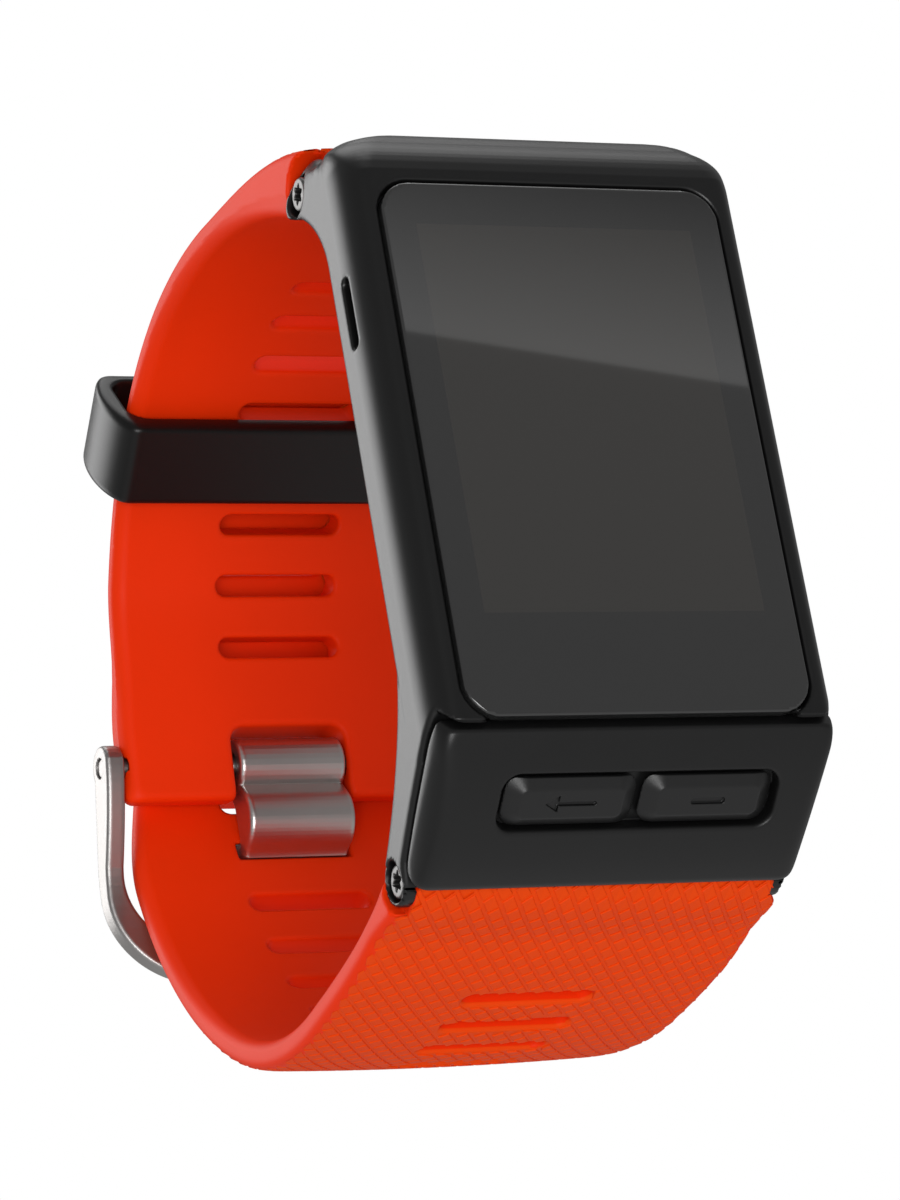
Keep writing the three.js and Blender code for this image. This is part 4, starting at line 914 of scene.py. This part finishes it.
for i in range(4):
    cx = (i - 1.5) * CONTACT_PITCH
    build(f"charging_pad_{i + 1}", in_case(contact(cx)), (cx - 0.8, -24.3, -12.5), (cx + 0.8, -21.8, -10.7), 0.08,
          "watch", M["gold"], [f"charge_contact_{i + 1}"])


def cover_screw(cx, cz):
    def f(x, d, h):
        r, a = np.hypot(x - cx, h - cz), np.arctan2(h - cz, x - cx)
        head = smax(r - 1.15, slab(d, 7.3, 8.0), 0.25)
        socket = np.maximum(r - (0.55 + 0.1 * np.cos(6 * a)), 7.6 - d)
        return np.minimum(smax(head, -socket, 0.06), np.maximum(r - 0.55, slab(d, 3.4, 7.5)))

    return f


for number, (sx, sz) in enumerate(COVER_SCREWS, 1):
    build(f"cover_screw_{number}", in_case(cover_screw(sx, sz)), (sx - 1.2, -29.9, sz + 0.8),
          (sx + 1.2, -25.2, sz + 3.2), 0.08, "watch", M["screw"], [f"rear_cover_screw_{number}"])


# ------------------------------------------------------------------ carried-over CAD nodes
NODE_MATERIAL = {
    "glass_gasket": "silicone", "display_panel": "matte", "mid_frame": "shield", "main_board": "board",
    "processor_shield": "shield", "radio_shield": "shield", "gps_antenna": "ceramic", "pressure_sensor": "shield",
    "port_membrane": "silicone", "battery": "battery", "vibration_motor": "shield", "vibration_weight": "screw",
    "sensor_board": "board", "sensor_led_1": "led", "sensor_led_2": "led", "photodiode": "lens",
    "contact_block": "gloss", "back_key_seal": "silicone", "back_key_switch": "shield", "select_key_seal": "silicone",
    "select_key_switch": "shield", "key_board": "board", "upper_strap_bar": "steel", "lower_strap_bar": "steel",
}
for node, key in NODE_MATERIAL.items():
    for slot_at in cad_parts[node].material_slots:
        slot_at.material = M[key]


# ------------------------------------------------------------------ camera, floor and lights
FOCAL_PIXELS, IMAGE_HEIGHT = 5029.9, 1200
CAMERA_PLACE = (-0.145462, -0.312530, -0.127820)
CAMERA_TURN = ((0.91550585, 0.00508792, -0.40167926), (-0.36851187, -0.38687011, -0.84500242),
               (-0.15992221, 0.92209905, -0.3522969))
SOFTBOXES = (  # name, place and size in metres, brightness
    ("rear_left_softbox", (-0.42, 0.66, 0.34), (0.42, 0.7), 3.8),
    ("front_softbox", (-0.26, -0.62, -0.30), (0.34, 0.34), 8.0),
    ("overhead_softbox", (0.10, 0.10, 0.80), (0.6, 0.5), 1.6),
)
AMBIENT, DIFFUSE_EXTRA = 0.28, 0.24
FLOOR_HALF, FLOOR_Z = 6, -1.0
# A small card whose reflection crosses the upper part of the glass, brightest along its slanted lower edge.
CARD_LOW, CARD_HIGH = Vector((0.1200, -0.4522, 0.2225)), Vector((0.3200, -0.4522, 0.1919))
CARD_UP = Vector((0.0085, 0.0, 0.0550))
CARD_SLANT, CARD_FADE, CARD_GLOW = 0.153, (0.2409, 0.2800), 1.25


def add_sheet(name, corners, mat):
    """A four-cornered sheet that is part of the studio."""
    mesh = bpy.data.meshes.new(name)
    mesh.from_pydata(corners, [], [(0, 1, 2, 3)])
    mesh.materials.append(mat)
    add_object(name, mesh)


def card_material():
    m = bpy.data.materials.new("reflector_glow")
    m.use_nodes = True
    nt = m.node_tree
    place = nt.nodes.new("ShaderNodeSeparateXYZ")
    nt.links.new(nt.nodes.new("ShaderNodeTexCoord").outputs["Object"], place.inputs["Vector"])
    height = calculate(nt, "MULTIPLY_ADD", place.outputs["X"], CARD_SLANT, place.outputs["Z"])
    glow = nt.nodes.new("ShaderNodeEmission")
    nt.links.new(map_range(nt, height, CARD_FADE, (CARD_GLOW, 0.0)), glow.inputs["Strength"])
    nt.links.new(glow.outputs["Emission"], nt.nodes["Material Output"].inputs["Surface"])
    return m


camera_data = bpy.data.cameras.new("camera")
camera_data.lens = 36 * FOCAL_PIXELS / IMAGE_HEIGHT
camera_data.clip_start, camera_data.clip_end = 0.01, 20
camera = add_object("camera", camera_data)
camera.matrix_world = Matrix.Translation(CAMERA_PLACE) @ Matrix(CAMERA_TURN).to_4x4()
bpy.context.scene.camera = camera

for name, place, size, brightness in SOFTBOXES:
    light = bpy.data.lights.new(name, "AREA")
    light.shape = "RECTANGLE"
    light.size, light.size_y = size
    light.energy = brightness * math.pi * size[0] * size[1]
    lamp = add_object(name, light)
    lamp.location = place
    lamp.rotation_mode = "QUATERNION"
    lamp.rotation_quaternion = (-Vector(place)).to_track_quat("-Z", "Y")

world = bpy.data.worlds.new("studio")
bpy.context.scene.world = world
world.use_nodes = True
sky = world.node_tree
background = sky.nodes["Background"]
background.inputs["Color"].default_value = (1, 1, 1, 1)
ray = sky.nodes.new("ShaderNodeLightPath")
power = map_range(sky, ray.outputs["Is Camera Ray"], (0.0, 1.0), (AMBIENT, 1.0))
power = calculate(sky, "MULTIPLY_ADD", ray.outputs["Is Diffuse Ray"], DIFFUSE_EXTRA, power)
sky.links.new(power, background.inputs["Strength"])

floor_corners = [(FLOOR_HALF * a, FLOOR_HALF * b, FLOOR_Z) for a, b in ((-1, -1), (1, -1), (1, 1), (-1, 1))]
add_sheet("floor", floor_corners,
          material("studio_floor", (0.85, 0.85, 0.85), 0.8, mottle=0.01, mottle_scale=2, grain=0.0))
add_sheet("reflector_card", [CARD_LOW, CARD_HIGH, CARD_HIGH + CARD_UP, CARD_LOW + CARD_UP], card_material())

bpy.context.scene.view_settings.view_transform = "Standard"
